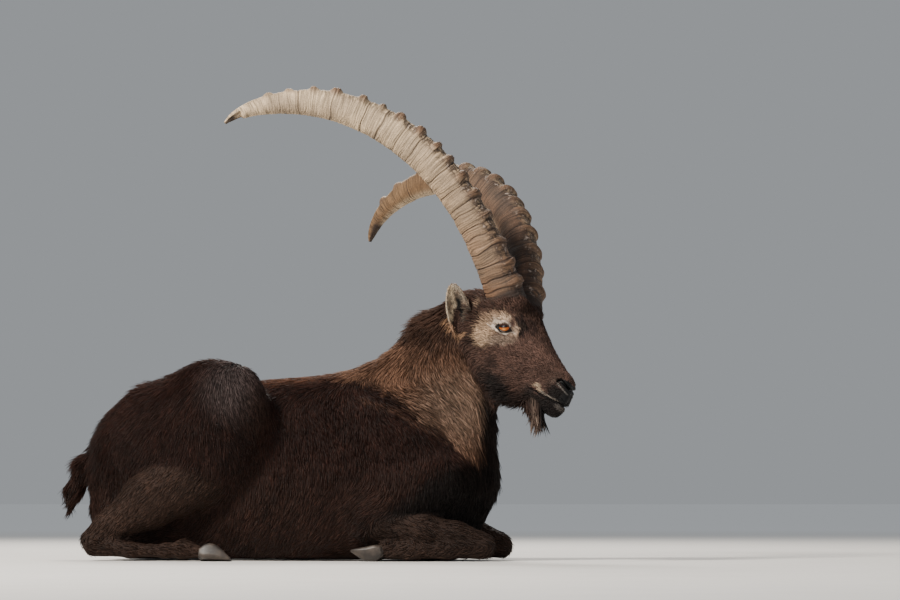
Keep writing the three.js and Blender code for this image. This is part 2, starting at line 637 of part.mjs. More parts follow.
// Legs, folded: each part a tube from its upper joint to its lower one
const THIGH_DROP = { right: 0, left: 32 }; // the left hip lies lower
const legParts = (name, side) => ({
  [`forearm_${name}`]: tube([at(-118, 126 * side, 74), at(-40, 118 * side, 62), at(34, 104 * side, 50),
    at(86, 92 * side, 35)], [48, 42, 34, 29], 9, 0.9),
  [`fore_cannon_${name}`]: tube([at(92, 98 * side, 24), at(20, 126 * side, 20), at(-50, 146 * side, 19),
    at(-104, 156 * side, 20)], [22, 18, 18, 19], 9),
  [`shank_${name}`]: tube([at(-500, 140 * side, 186 - THIGH_DROP[name]), at(-610, 158 * side, 124 - THIGH_DROP[name] / 2),
    at(-694, 168 * side, 68), at(-734, 172 * side, 47)], [76, 60, 35, 22], 10, 0.74),
  [`hind_cannon_${name}`]: tube([at(-722, 174 * side, 30), at(-640, 186 * side, 22), at(-560, 199 * side, 21),
    at(-520, 205 * side, 24), at(-488, 210 * side, 20)], [25, 18, 17, 22, 17], 9),
});
for (const [name, side] of SIDES) Object.assign(nodes, legParts(name, side));

// Hooves: two claws side by side, joined at the heel. x runs to the toe and z up from the sole.
const clawStations = [
  { x: -4, low: 6, high: 22, wide: 8 },
  { x: 8, low: 0, high: 32, wide: 11.5 },
  { x: 26, low: 0, high: 33, wide: 12 },
  { x: 44, low: 0, high: 22, wide: 10.5 },
  { x: 57, low: 0, high: 10, wide: 7 },
  { x: 63, low: 1, high: 5, wide: 2.5 },
];
function hoof(place, turn) {
  const claw = (y) => skinned(clawStations.map(({ x, low, high, wide }) => Array.from({ length: 6 }, (_, i) => {
    const angle = (i / 6) * 2 * Math.PI;
    return at(x, y + Math.cos(angle) * wide * (Math.sin(angle) < 0 ? 1.05 : 0.85),
      mix(low, high, 0.5 + 0.577 * Math.sin(angle)));
  })));
  const heel = solidOf(new THREE.SphereGeometry(1, 8, 5).scale(13, 17, 14).translate(3, 0, 16));
  const matrix = new THREE.Matrix4().makeRotationFromEuler(turn).setPosition(place);
  return fused([claw(-12.5), claw(12.5), heel]).transform(matrix.elements);
}
for (const [name, side] of SIDES) {
  nodes[`fore_hoof_${name}`] = hoof(at(-112, 158 * side, 36), new THREE.Euler(Math.PI, 0.18, (1 - side * 0.03) * Math.PI));
  nodes[`hind_hoof_${name}`] = hoof(at(-480, 214 * side, 1), new THREE.Euler(0.35 * side, 0, -0.12 * side));
}

// Tail, short and carried low behind the rump
nodes.tail = tube([at(-758, 0, 222), at(-796, 4, 196), at(-822, 8, 150), at(-828, 10, 112)], [24, 25, 20, 8], 9, 1.15);

// A flat tapering lock of long hair that leaves its root along a way and bends as it goes
function lock({ root, way, length, width, thick, bend, flatTo }) {
  const ahead = way.clone().normalize();
  return skinned([0, 0.25, 0.55, 0.8, 1].map((t) => {
    const along = ahead.clone().addScaledVector(bend, 2 * t).normalize();
    const hub = root.clone().addScaledVector(ahead, t * length).addScaledVector(bend, t * t * length);
    const across = along.clone().cross(flatTo).normalize();
    const out = across.clone().cross(along);
    const share = Math.sin(Math.PI * mix(0.3, 1, t)) ** 0.8 + 0.03;
    return [[1, -0.4], [0, 0.8], [-1, -0.4]].map(([u, v]) =>
      hub.clone().addScaledVector(across, (u * width * share) / 2).addScaledVector(out, (v * thick * share) / 2));
  }));
}

// A slightly larger lock that starts a little deeper, to cut the flesh where the lock is rooted
const lockRoom = (spec) => lock({
  ...spec,
  root: spec.root.clone().addScaledVector(spec.way.clone().normalize(), -HAIR_GAP),
  width: spec.width + 2 * HAIR_GAP,
  thick: spec.thick + 2 * HAIR_GAP,
});

// The same sequence of chances each time
function chances(seed) {
  let state = seed;
  return (low, high) => {
    state = (Math.imul(state, 1664525) + 1013904223) >>> 0;
    return mix(low, high, state / 2 ** 32);
  };
}

// Crest of long hair down the nape, lying back over the neck
const NAPE_ROWS = 7;
const nape = chances(7);
const crest = [];
for (let row = 0; row < NAPE_ROWS; row++) {
  for (const column of [-1, 0, 1]) {
    const x = mix(4, -104, (row + nape(-0.2, 0.2) + (column ? 0.5 : 0)) / NAPE_ROWS);
    const y = column * 24 + nape(-5, 5) - 6;
    const root = surfaceBetween(at(x + 40, y, 700), at(x, y, 380));
    const along = at(-0.72, column * 0.16, -0.66);
    const lift = at(-0.5, column * 0.3, 0.8);
    crest.push(lock({
      root: root.addScaledVector(lift, -9),
      way: along.clone().addScaledVector(lift, nape(0.34, 0.5)),
      length: nape(54, 70),
      width: nape(19, 26),
      thick: nape(8, 11),
      bend: lift.clone().multiplyScalar(-0.2).add(at(0, nape(-0.06, 0.06), 0)),
      flatTo: lift,
    }));
  }
}
nodes.neck = largest(fused([nodes.neck, ...crest]).intersect(headCut.behind).intersect(neckCut.ahead));

// Beard: locks round the chin's underside that hang and curl forwards together
const beardHair = chances(3);
const BEARD_LOCKS = 9;
const BEARD_SIZE = at(27, 14, 0); // half its length and width at the root
const beardRoot = onHead(56, -7, -213);
const beardLocks = Array.from({ length: BEARD_LOCKS }, (_, i) => {
  const turn = i * 2.4;
  const reach = Math.sqrt(i / BEARD_LOCKS);
  const offset = at(Math.cos(turn) * BEARD_SIZE.x * reach, Math.sin(turn) * BEARD_SIZE.y * reach, -Math.cos(turn) * 6);
  const inward = offset.clone().multiplyScalar(-0.011);
  return {
    root: beardRoot.clone().add(offset),
    way: at(-0.1, 0, -1).addScaledVector(inward, 0.6),
    length: beardHair(52, 76),
    width: beardHair(17, 23),
    thick: beardHair(11, 14),
    bend: at(beardHair(0.1, 0.3), beardHair(-0.1, 0.1), 0.05).addScaledVector(inward, 0.4),
    flatTo: at(Math.cos(turn) * 0.5, Math.sin(turn), 0.01).addScaledVector(at(0.1, -1, 0), 0.4),
  };
});
nodes.beard = largest(fused(beardLocks.map(lock)));
nodes.head = largest(beardLocks.map(lockRoom).reduce((a, b) => a.subtract(b), nodes.head));

// Tail tuft: locks that cover the tail and lie down along it
const tailHair = chances(11);
const tuft = Array.from({ length: 9 }, (_, i) => {
  const turn = (i % 3 - 1) * 0.9;
  const root = at(mix(-786, -818, Math.floor(i / 3) / 3), 6 + Math.sin(turn) * 16, mix(206, 150, Math.floor(i / 3) / 2.4));
  const out = at(-Math.cos(turn), Math.sin(turn), 0.2);
  return {
    root,
    way: at(-0.34, 0.05, -0.94).addScaledVector(out, 0.2),
    length: tailHair(58, 74),
    width: tailHair(20, 26),
    thick: tailHair(8, 11),
    bend: out.clone().multiplyScalar(-0.12),
    flatTo: out,
  };
});
nodes.rump = largest(tuft.map(lockRoom).reduce((a, b) => a.subtract(b), carved(nodes.rump, nodes.tail)));
nodes.tail = largest(fused([nodes.tail, ...tuft.map(lock)]));

// Larger parts give way to the smaller ones that meet them
const layers = [
  ["neck", ["ear_right", "ear_left"]],
];
for (const [name] of SIDES) {
  layers.push([`fore_cannon_${name}`, [`fore_hoof_${name}`]]);
  layers.push([`hind_cannon_${name}`, [`hind_hoof_${name}`]]);
  layers.push([`forearm_${name}`, [`fore_cannon_${name}`, `fore_hoof_${name}`]]);
  layers.push([`shank_${name}`, [`hind_cannon_${name}`]]);
  layers.push([`shoulder_${name}`, [`forearm_${name}`, `fore_cannon_${name}`, `fore_hoof_${name}`]]);
  layers.push([`thigh_${name}`, [`shank_${name}`, `hind_cannon_${name}`, `hind_hoof_${name}`]]);
  for (const big of ["torso", "rump"]) {
    layers.push([big, [`forearm_${name}`, `fore_cannon_${name}`, `fore_hoof_${name}`, `shank_${name}`,
      `hind_cannon_${name}`, `hind_hoof_${name}`]]);
  }
}
for (const name of Object.keys(nodes)) {
  if (/^(fore|hind|shank)/.test(name)) nodes[name] = largest(nodes[name].intersect(floor));
}
for (const [big, smalls] of layers) nodes[big] = carved(nodes[big], ...smalls.map((small) => nodes[small]));

// Exported scene: each part placed by its own middle, in its own material
const finishes = {
  horn: { color: 0x85735d, roughness: 0.75 },
  eye: { color: 0x9a4f16, roughness: 0.12 },
  hoof: { color: 0x2c2623, roughness: 0.6 },
  coat: { color: 0x3b2a20, roughness: 0.95 },
};
const ibex = new THREE.Group();
for (const [name, solid] of Object.entries(nodes)) {
  const geometry = geometryOf(tidied(solid));
  geometry.computeBoundingBox();
  const middle = geometry.boundingBox.getCenter(at(0, 0, 0)).round();
  geometry.translate(-middle.x, -middle.y, -middle.z);
  geometry.computeVertexNormals();
  const kind = Object.keys(finishes).find((key) => name.includes(key)) ?? "coat";
  const mesh = new THREE.Mesh(geometry, new THREE.MeshStandardMaterial({ ...finishes[kind], metalness: 0 }));
  mesh.name = name;
  mesh.position.copy(middle);
  ibex.add(mesh);
}
export default ibex;
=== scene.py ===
# %% [markdown]
# # Alpine ibex at rest
# An adult male lies on his chest with his legs folded and his head up. The CAD frame gives every size and place.
# Here we grow one skin inside its flesh parts, lay a coat of mesh tufts over it and carve the horns, eyes and hooves.

# %% Load the frame
import json
import math
import bmesh
import bpy
import numpy as np
from mathutils import Matrix, Vector, noise

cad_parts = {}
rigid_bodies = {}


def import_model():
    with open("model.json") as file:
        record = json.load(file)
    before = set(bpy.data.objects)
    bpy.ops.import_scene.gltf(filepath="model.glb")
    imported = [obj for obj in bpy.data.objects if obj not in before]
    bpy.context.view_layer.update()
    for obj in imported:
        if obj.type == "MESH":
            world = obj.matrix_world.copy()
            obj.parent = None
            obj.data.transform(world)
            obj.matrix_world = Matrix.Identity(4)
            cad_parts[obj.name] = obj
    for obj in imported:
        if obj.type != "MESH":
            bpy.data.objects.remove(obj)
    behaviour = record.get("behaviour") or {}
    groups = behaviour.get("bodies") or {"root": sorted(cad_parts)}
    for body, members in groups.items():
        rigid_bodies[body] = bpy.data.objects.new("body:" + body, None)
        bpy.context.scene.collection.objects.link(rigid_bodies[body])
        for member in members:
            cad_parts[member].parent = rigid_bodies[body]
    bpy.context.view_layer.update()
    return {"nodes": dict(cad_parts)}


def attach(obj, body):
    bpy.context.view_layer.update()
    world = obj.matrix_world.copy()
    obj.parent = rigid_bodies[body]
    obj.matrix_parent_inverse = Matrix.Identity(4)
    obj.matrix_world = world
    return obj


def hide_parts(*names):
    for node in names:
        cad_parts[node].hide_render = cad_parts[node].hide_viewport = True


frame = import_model()
SIDES = (("right", -1), ("left", 1))

# %% [markdown]
# ## The camera
# A long lens looks from low down at the animal's right side, a little from ahead, and flattens the view.

# %% Place the camera
AIM = Vector((0, 0, 0.546))
AZIMUTH = math.radians(12)
DISTANCE = 8.0
FRAME_WIDTH = 1.89
camera_data = bpy.data.cameras.new("camera")
camera = bpy.data.objects.new("camera", camera_data)
camera.location = (DISTANCE * math.sin(AZIMUTH), -DISTANCE * math.cos(AZIMUTH), 0.12)
sight = AIM - camera.location
camera.rotation_euler = sight.to_track_quat("-Z", "Y").to_euler()
camera_data.lens = camera_data.sensor_width * sight.length / FRAME_WIDTH
bpy.context.scene.collection.objects.link(camera)
bpy.context.scene.camera = camera
print("lens", round(camera_data.lens, 1), "mm")

# %% [markdown]
# ## The flesh as a field
# A field is a function that gives, for any point, about how far it is outside the flesh, and less than zero inside.
# Fields of simple forms melt together smoothly, and the skin is wherever the sum is zero. The body could be sculpted
# by hand, but a field keeps to the numbers of the CAD model. Here we work in millimetres.

# %% Small helpers
def mix(a, b, t):
    return a + (b - a) * t


def smooth(low, high, x):
    t = np.clip((x - low) / (high - low), 0, 1)
    return t * t * (3 - 2 * t)


def lengths(v):
    return np.linalg.norm(v, axis=-1)


def unit(v):
    v = np.asarray(v, float)
    return v / np.maximum(lengths(v)[..., None], 1e-9)


def spot(q, centre, size, edge=0.5):
    return smooth(1 + edge / 2, 1 - edge / 2, lengths((q - np.array(centre)) / np.array(size)))


def turned(x, y, z):
    spin = Matrix.Rotation(x, 3, "X") @ Matrix.Rotation(y, 3, "Y") @ Matrix.Rotation(z, 3, "Z")
    return np.array(spin)


# %% Fields of simple forms
def ellipsoid(centre, radii, turn=(0, 0, 0)):
    centre, radii, spin = np.array(centre, float), np.array(radii, float), turned(*turn)

    def field(p):
        q = (p - centre) @ spin / radii
        r = lengths(q)
        slope = np.maximum(lengths(q / radii), 1e-9)
        return np.where(r < 1e-6, -radii.min(), r * (r - 1) / slope)
    return field


def taper(a, radius_a, b, radius_b, flat=1.0):
    squash = np.array((1, 1 / flat, 1))
    start = np.array(a, float) * squash
    along = np.array(b, float) * squash - start

    def field(p):
        q = p * squash - start
        share = np.clip(q @ along / (along @ along), 0, 1)
        away = lengths(q - share[:, None] * along)
        return (away - mix(radius_a, radius_b, share)) * min(1, flat * 1.2)
    return field


def chain(points, radii, flat=1.0, fillet=14):
    links = [taper(points[i], radii[i], points[i + 1], radii[i + 1], flat) for i in range(len(points) - 1)]
    return joined(fillet, *links)


def between(stations, column, x):
    at, value = stations[:, 0], stations[:, column]
    slope = np.gradient(value)
    slope[1:-1] = (value[2:] - value[:-2]) / (at[2:] - at[:-2])
    slope[0] = (value[1] - value[0]) / (at[1] - at[0])
    slope[-1] = (value[-1] - value[-2]) / (at[-1] - at[-2])
    i = np.clip(np.searchsorted(at, x) - 1, 0, len(at) - 2)
    width = at[i + 1] - at[i]
    t = np.clip((x - at[i]) / width, 0, 1)
    t2, t3 = t * t, t * t * t
    return ((2 * t3 - 3 * t2 + 1) * value[i] + (t3 - 2 * t2 + t) * width * slope[i]
            + (3 * t2 - 2 * t3) * value[i + 1] + (t3 - t2) * width * slope[i + 1])


def sections(stations, round_above, round_below):
    stations = np.array(stations, float)

    def field(p):
        x = np.clip(p[:, 0], stations[0, 0], stations[-1, 0])
        top, bottom = between(stations, 1, x), between(stations, 2, x)
        half = (top - bottom) / 2
        height = (p[:, 2] - (top + bottom) / 2) / half
        share = np.clip(height * 0.5 + 0.5, 0, 1)
        width = mix(between(stations, 4, x), between(stations, 3, x), share)
        power = mix(round_below, round_above, share)
        r = (np.abs(p[:, 1] / width) ** power + np.abs(height) ** power) ** (1 / power)
        side = (r - 1) * np.minimum(half, width)
        end = np.abs(p[:, 0] - x)
        return np.where(end > 0, np.hypot(np.maximum(side, 0), end), side)
    return field


def joined(fillet, *fields):
    def field(p):
        total = fields[0](p)
        for other in fields[1:]:
            value = other(p)
            h = np.maximum(fillet - np.abs(total - value), 0) / fillet
            total = np.minimum(total, value) - h * h * fillet / 4
        return total
    return field


# %% [markdown]
# ## The head's own directions
# The head is turned, rolled and pitched, so its forms are set out in a frame of its own: x along the face to the
# lips, y to the animal's left and z out of the forehead. The horns start at its origin.

# %% Frames of the head
HORN_ROOTS = np.array((143.0, -15.0, 539.0))
HEAD_TURN, HEAD_ROLL, FACE_PITCH = (math.radians(angle) for angle in (15, 15, 42))
forward = Matrix.Rotation(-HEAD_TURN, 3, "Z") @ Vector((1, 0, 0))
leftward = Matrix.Rotation(-HEAD_ROLL, 3, forward) @ Vector((0, 0, 1)).cross(forward)
head_axes = np.array((forward, leftward, forward.cross(leftward))).T
face_axes = head_axes @ turned(0, FACE_PITCH, 0)


def to_face(p):
    return (p - HORN_ROOTS) @ face_axes


def to_head(p):
    return (p - HORN_ROOTS) @ head_axes


# %% Trunk, neck, shoulders and haunches
TRUNK = (
    (-775, 252, 74, 34, 44), (-740, 294, 18, 66, 88), (-660, 342, -8, 94, 128), (-560, 366, -10, 108, 150),
    (-450, 380, -10, 112, 158), (-340, 388, -12, 120, 172), (-250, 396, -12, 116, 172), (-180, 403, -12, 98, 158),
    (-100, 388, -8, 92, 136), (-10, 320, -9, 84, 106), (50, 255, 30, 62, 70),
)
NECK = (((-118, 0, 235), 172), ((-36, -3, 338), 132), ((12, -8, 431), 101), ((60, -14, 480), 81))


def shoulder(side):
    return joined(45, ellipsoid((-100, 92 * side, 235), (92, 46, 132), (0.12 * side, 0.42, 0)),
                  taper((4, 84 * side, 170), 58, (-136, 122 * side, 88), 50))


haunch_right = joined(50, ellipsoid((-482, -128, 276), (118, 88, 146)), ellipsoid((-414, -158, 324), (48, 52, 76)),
                      ellipsoid((-606, -90, 240), (148, 84, 130), (0, -0.4, -0.28)))
haunch_left = joined(50, ellipsoid((-490, 138, 196), (130, 92, 138)), ellipsoid((-414, 176, 190), (62, 54, 76)),
                     ellipsoid((-606, 92, 186), (150, 86, 130), (0, -0.3, 0.28)))
torso = joined(40, sections(TRUNK, 2.1, 3.2), ellipsoid((12, 0, 185), (92, 90, 135)),
               shoulder(1), shoulder(-1), haunch_right, haunch_left)
neck = chain([place for place, _ in NECK], [radius for _, radius in NECK], flat=0.66, fillet=30)

# %% Head
FACE = (
    (-78, -48, -128, 40, 42), (-40, -12, -164, 54, 54), (0, 12, -176, 58, 55), (30, 24, -178, 58, 53),
    (56, 24, -177, 52, 50), (80, 16, -174, 45, 47), (104, 8, -172, 39, 43), (137, -2, -166, 34, 36),
    (168, -10, -152, 29, 30), (195, -19, -127, 26, 25), (218, -27, -112, 24, 22), (234, -36, -104, 21, 18),
    (245, -48, -98, 15, 13), (252, -60, -92, 8, 8),
)


def face_forms(side):
    return (ellipsoid((52, 33 * side, -46), (38, 20, 30)),
            taper((24, 40 * side, -18), 13, (92, 26 * side, -24), 5),
            ellipsoid((86, 27 * side, -112), (66, 18, 50)),
            ellipsoid((222, 12 * side, -45), (18, 12, 16)),
            taper((186, 17 * side, -80), 10, (243, 8 * side, -64), 9),
            taper((186, 14 * side, -103), 9, (240, 7 * side, -89), 9))


face = joined(20, sections(FACE, 2.3, 2.3), *face_forms(1), *face_forms(-1), ellipsoid((238, 0, -96), (22, 15, 14)))
crown = joined(24, ellipsoid((-38, 0, -50), (58, 55, 54)),
               ellipsoid((2, -40, -16), (44, 34, 27)), ellipsoid((2, 40, -16), (44, 34, 27)))
head = joined(18, lambda p: face(to_face(p)), lambda p: crown(to_head(p)))
flesh = joined(42, joined(48, torso, neck), head)


# %% Legs and tail
THIGH_DROP = {"right": 0, "left": 32}
LEGS = {}
for name, side in SIDES:
    drop = THIGH_DROP[name]
    LEGS["forearm_" + name] = ([(-118, 126 * side, 74), (-40, 118 * side, 62), (34, 104 * side, 50),
                                (86, 92 * side, 35)], [48, 42, 34, 29], 0.9)
    LEGS["fore_cannon_" + name] = ([(92, 98 * side, 24), (20, 126 * side, 20), (-50, 146 * side, 19),
                                    (-104, 156 * side, 20)], [22, 18, 18, 19], 1.0)
    LEGS["shank_" + name] = ([(-500, 140 * side, 186 - drop), (-610, 158 * side, 124 - drop / 2),
                              (-694, 168 * side, 68), (-734, 172 * side, 47)], [76, 60, 35, 22], 0.74)
    LEGS["hind_cannon_" + name] = ([(-722, 174 * side, 30), (-640, 186 * side, 22), (-560, 199 * side, 21),
                                    (-520, 205 * side, 24), (-488, 210 * side, 20)], [25, 18, 17, 22, 17], 1.0)
TAIL = ([(-758, 0, 222), (-796, 4, 196), (-822, 8, 150), (-828, 10, 112)], [24, 25, 20, 8], 1.15)
leg_fields = {name: chain(*shape) for name, shape in LEGS.items()}
tail = chain(*TAIL)

# %% [markdown]
# ## How deep the coat is
# The CAD flesh is measured to the tips of the hair. The skin lies inside it by the depth of the coat: a finger's
# width on the neck, next to nothing on the muzzle.

# %% Depth of the coat and the skin's field
HEAD_CUT, HEAD_WAY = np.array((46.0, -5, 452)), unit((0.885, -0.17, 0.43))
NECK_CUT, NECK_WAY = np.array((-160.0, 0, 412)), unit((0.61, 0, 0.793))
LEG_DEPTH, FLOOR_GAP = 4, 3


def past_cut(p):
    return (p - HEAD_CUT) @ HEAD_WAY


def on_the_head(p):
    return smooth(-25, 30, past_cut(p))


def on_the_neck(p):
    return smooth(-90, 30, (p - NECK_CUT) @ NECK_WAY) * (1 - on_the_head(p))


def coat_depth(p):
    along = to_face(p)[:, 0]
    on_face = mix(mix(7, 2.6, smooth(-40, 40, along)), 1.4, smooth(170, 230, along))
    return mix(mix(3.5, 9, on_the_neck(p)), on_face, on_the_head(p))


def skin_field(p):
    limbs = joined(16, *leg_fields.values(), tail)
    whole = joined(12, lambda q: flesh(q) + coat_depth(q), lambda q: limbs(q) + LEG_DEPTH)(p)
    return np.maximum(whole, FLOOR_GAP - p[:, 2])


# %% [markdown]
# ## From the field to a mesh
# Surface nets put one vertex in each grid cell that the surface crosses, then slide it on to the surface. The grid
# is coarse, because the body is smooth. The face is divided again later, where it needs the detail.

# %% Surface nets
def settle(field, points, steps=3, reach=0.4):
    for _ in range(steps):
        slope = np.stack([(field(points + e) - field(points - e)) / (2 * reach) for e in np.eye(3) * reach], 1)
        move = slope * (field(points) / np.maximum((slope ** 2).sum(1), 0.05))[:, None]
        points = points - move * np.minimum(1, 6 / np.maximum(lengths(move), 1e-9))[:, None]
    return points


def surface_nets(field, low, high, cell):
    axes = [np.arange(a, b + cell, cell) for a, b in zip(low, high)]
    grid = np.stack(np.meshgrid(*axes, indexing="ij"), -1)
    inside = (field(grid.reshape(-1, 3)) < 0).reshape(grid.shape[:3])
    nearby = [inside[i:i - 1 or None, j:j - 1 or None, k:k - 1 or None]
              for i in (0, 1) for j in (0, 1) for k in (0, 1)]
    crossed = np.logical_or.reduce(nearby) & ~np.logical_and.reduce(nearby)
    index = np.full(crossed.shape, -1)
    index[crossed] = np.arange(crossed.sum())
    points = settle(field, grid[:-1, :-1, :-1][crossed] + cell / 2)
    quads = []
    for axis in range(3):
        order = (axis, (axis + 1) % 3, (axis + 2) % 3)
        solid, number = inside.transpose(order), index.transpose(order)
        i, j, k = np.nonzero(solid[:-1, 1:-1, 1:-1] != solid[1:, 1:-1, 1:-1])
        corners = np.stack([number[i, j, k], number[i, j + 1, k], number[i, j + 1, k + 1], number[i, j, k + 1]], 1)
        outwards = solid[i, j + 1, k + 1]
        quads.append(np.where(outwards[:, None], corners, corners[:, ::-1]))
    return points, np.concatenate(quads)


def mesh_of(name, points, faces):
    mesh = bpy.data.meshes.new(name)
    mesh.from_pydata((np.asarray(points) / 1000).tolist(), [], [tuple(map(int, face)) for face in faces])
    mesh.validate()
    mesh.shade_smooth()
    return mesh


def tube_faces(rings, around, start=0):
    quads = [(start + r * around + i, start + r * around + (i + 1) % around,
              start + (r + 1) * around + (i + 1) % around, start + (r + 1) * around + i)
             for r in range(rings - 1) for i in range(around)]
    last = start + (rings - 1) * around
    return quads + [tuple(range(start, start + around))[::-1], tuple(range(last, last + around))]


def places(mesh):
    flat = np.empty(len(mesh.vertices) * 3)
    mesh.vertices.foreach_get("co", flat)
    return flat.reshape(-1, 3) * 1000


def move_to(mesh, points):
    mesh.vertices.foreach_set("co", (points / 1000).ravel())
    mesh.update()


def normals(mesh):
    flat = np.empty(len(mesh.vertices) * 3)
    mesh.vertex_normals.foreach_get("vector", flat)
    return flat.reshape(-1, 3)


BODY_CELL = 9
skin_mesh = mesh_of("skin", *surface_nets(skin_field, (-870, -270, -12), (300, 270, 620), BODY_CELL))
print("skin", len(skin_mesh.polygons), "faces")

# %% [markdown]
# ## Ears
# Each ear is a leaf rolled round its length, so that it cups forwards and outwards. A crescent is carried from the
# root to the tip: its outside runs one way, its inside comes back, and its edge is the thickness of the ear. That is
# thinner than a grid cell of the field, so the ears are joined on by a boolean instead.

# %% Ears
EAR_LENGTH = 108
EAR_WALL = 3.2


def ear_half(share):
    return 25.5 * np.sin(math.pi * np.minimum(1, 0.2 + np.maximum(share, 0) * 0.8)) ** 0.5 + 1.2


EARS = {"right": ((-82, -55, -86), (-101, -93, 4), (0.5, -0.86, -0.1)),
        "left": ((-80, 55, -88), (-112, 104, -8), (0.62, 0.78, -0.1))}


def ear_axes(root, tip, faces):
    along = unit(np.subtract(tip, root))
    front = unit(np.array(faces) - np.dot(faces, along) * along)
    return along, front, np.cross(along, front)


def ear_mesh(name, arc=15, stops=26):
    root, tip, faces = EARS[name]
    along, front, across = ear_axes(root, tip, faces)
    rings = []
    for share in np.linspace(-0.16, 1, stops):
        half = float(ear_half(share))
        span = math.radians(mix(82, 50, float(smooth(0, 0.6, share))))
        radius = half / math.sin(min(span, math.pi / 2))
        wall = min(EAR_WALL, radius * 0.4)
        turn = np.linspace(-span, span, arc)
        curl = 1 + 0.06 * np.sin(share * 9 + turn * 2)
        outer = [(radius * math.sin(a), radius * (1 - math.cos(a)) * c) for a, c in zip(turn, curl)]
        inner = [((radius - wall) * math.sin(a), radius - (radius - wall) * math.cos(a) * c)
                 for a, c in zip(turn, 2 - curl)][::-1]
        hub = np.array(root) + along * share * EAR_LENGTH - front * (10 - 4 * share)
        rings.append([hub + across * x + front * y for x, y in outer + inner])
    points = HORN_ROOTS + np.concatenate(rings) @ head_axes.T
    return mesh_of("ear_" + name, points, tube_faces(stops, len(rings[0])))


def new_object(mesh):
    made = bpy.data.objects.new(mesh.name, mesh)
    bpy.context.scene.collection.objects.link(made)
    return made


def outwards(mesh):
    bm = bmesh.new()
    bm.from_mesh(mesh)
    bmesh.ops.remove_doubles(bm, verts=bm.verts, dist=1e-6)
    bmesh.ops.recalc_face_normals(bm, faces=bm.faces)
    bm.to_mesh(mesh)
    bm.free()


skin = new_object(skin_mesh)
for name, _ in SIDES:
    ear = new_object(ear_mesh(name))
    outwards(ear.data)
    cut = skin.modifiers.new("ear", "BOOLEAN")
    cut.operation, cut.solver, cut.object = "UNION", "EXACT", ear
    depsgraph = bpy.context.evaluated_depsgraph_get()
    with_ear = bpy.data.meshes.new_from_object(skin.evaluated_get(depsgraph))
    skin.modifiers.clear()
    skin.data = with_ear
    bpy.data.objects.remove(ear)
skin_mesh = skin.data
skin.name = skin_mesh.name = "skin"
print("skin with ears", len(skin_mesh.polygons), "faces")

# %% [markdown]
# ## Dividing the face
# Each pass cuts the chosen faces in four and slides the new points on to the field again: the whole head once, the
# face twice, and the eyes, mouth and nostrils three times. The body stays light.

# %% Divide the head, the face and the eyes
EYE = np.array((55.0, 40, -49))
EYE_RADIUS = 18.5


def head_of(points):
    q = to_face(points)
    q[:, 1] = np.abs(q[:, 1])
    return q


def is_ear(points, clear=4):
    return (flesh(points) > clear) & (past_cut(points) > -70) & (points[:, 2] > 380)


def refine(mesh, chosen):
    bm = bmesh.new()
    bm.from_mesh(mesh)
    edges = [e for e in bm.edges if chosen[e.verts[0].index] and chosen[e.verts[1].index]]
    bmesh.ops.subdivide_edges(bm, edges=edges, cuts=1, use_grid_fill=True)
    bm.to_mesh(mesh)
    bm.free()
    points = places(mesh)
    near = np.abs(skin_field(points)) < 5
    near &= (past_cut(points) > -30) & ~is_ear(points, 1)
    points[near] = settle(skin_field, points[near], 2)
    move_to(mesh, points)


def chosen_points(mesh, level):
    points = places(mesh)
    q = head_of(points)
    if level == 0:
        return (past_cut(points) > -15) & ~is_ear(points)
    if level == 1:
        return (q[:, 0] > 10) & (flesh(points) < 5)
    muzzle = (q[:, 0] > 182) & (q[:, 2] < -24) & (q[:, 2] > -112) & (q[:, 1] > 2)
    return (lengths(q - EYE) < 32) | muzzle


for level in range(3):
    refine(skin_mesh, chosen_points(skin_mesh, level))
print("divided skin", len(skin_mesh.polygons), "faces")

# %% [markdown]
# ## Sculpting the face
# Lids, brow, nostrils and lips are too fine for the field. Each is a small move of the skin's points, in or out, that
# fades with distance from a line or a place on the face. A sculpting brush does the same by eye, but numbers make
# both sides alike, and the same again on each run.

# %% Lids, brow, nostrils and mouth
LID_WIDTH, LID_HEIGHT, LID_TILT = 20.5, 7.4, math.radians(22)
MOUTH = ((186, -97), (197, -94), (207, -92), (217, -89.5), (230, -86), (243, -82), (255, -77), (264, -72))
NOSTRIL = ((219, -46), (222, -41.5), (232, -41), (241, -42), (248, -43))
NOSTRIL_RIM = ((225, -50), (236, -51.5), (250, -53))
NOSE_PAD = ((232, -40), (245, -41), (251, -50))
TEAR_LINE = ((76, -42), (88, -50), (100, -62))
JAW_LINE = ((150, -100), (112, -96), (96, -118), (104, -146))
CHEEK_LINE = ((96, -54), (130, -62), (168, -70))


def from_line(line, x, z):
    line = np.array(line, float)
    nearest = np.full(len(x), 1e9)
    for (ax, az), (bx, bz) in zip(line[:-1], line[1:]):
        dx, dz = bx - ax, bz - az
        t = np.clip(((x - ax) * dx + (z - az) * dz) / (dx * dx + dz * dz), 0, 1)
        nearest = np.minimum(nearest, np.hypot(x - ax - t * dx, z - az - t * dz))
    return nearest


def almond(q):
    x, z = q[:, 0] - EYE[0], q[:, 2] - EYE[2]
    along = x * math.cos(LID_TILT) + z * math.sin(LID_TILT)
    over = z * math.cos(LID_TILT) - x * math.sin(LID_TILT)
    high = LID_HEIGHT * np.where(over > 0, 0.84, 0.66) * (1 - 0.35 * np.clip(along / LID_WIDTH, -1.2, 1.2) ** 2)
    ring = np.maximum(np.hypot(along / LID_WIDTH, over / high), 0.05)
    steep = np.hypot(along / LID_WIDTH ** 2, over / high ** 2) / ring + 1e-6
    return (1 - 1 / ring) * np.hypot(along, over), over, (ring - 1) / steep, along


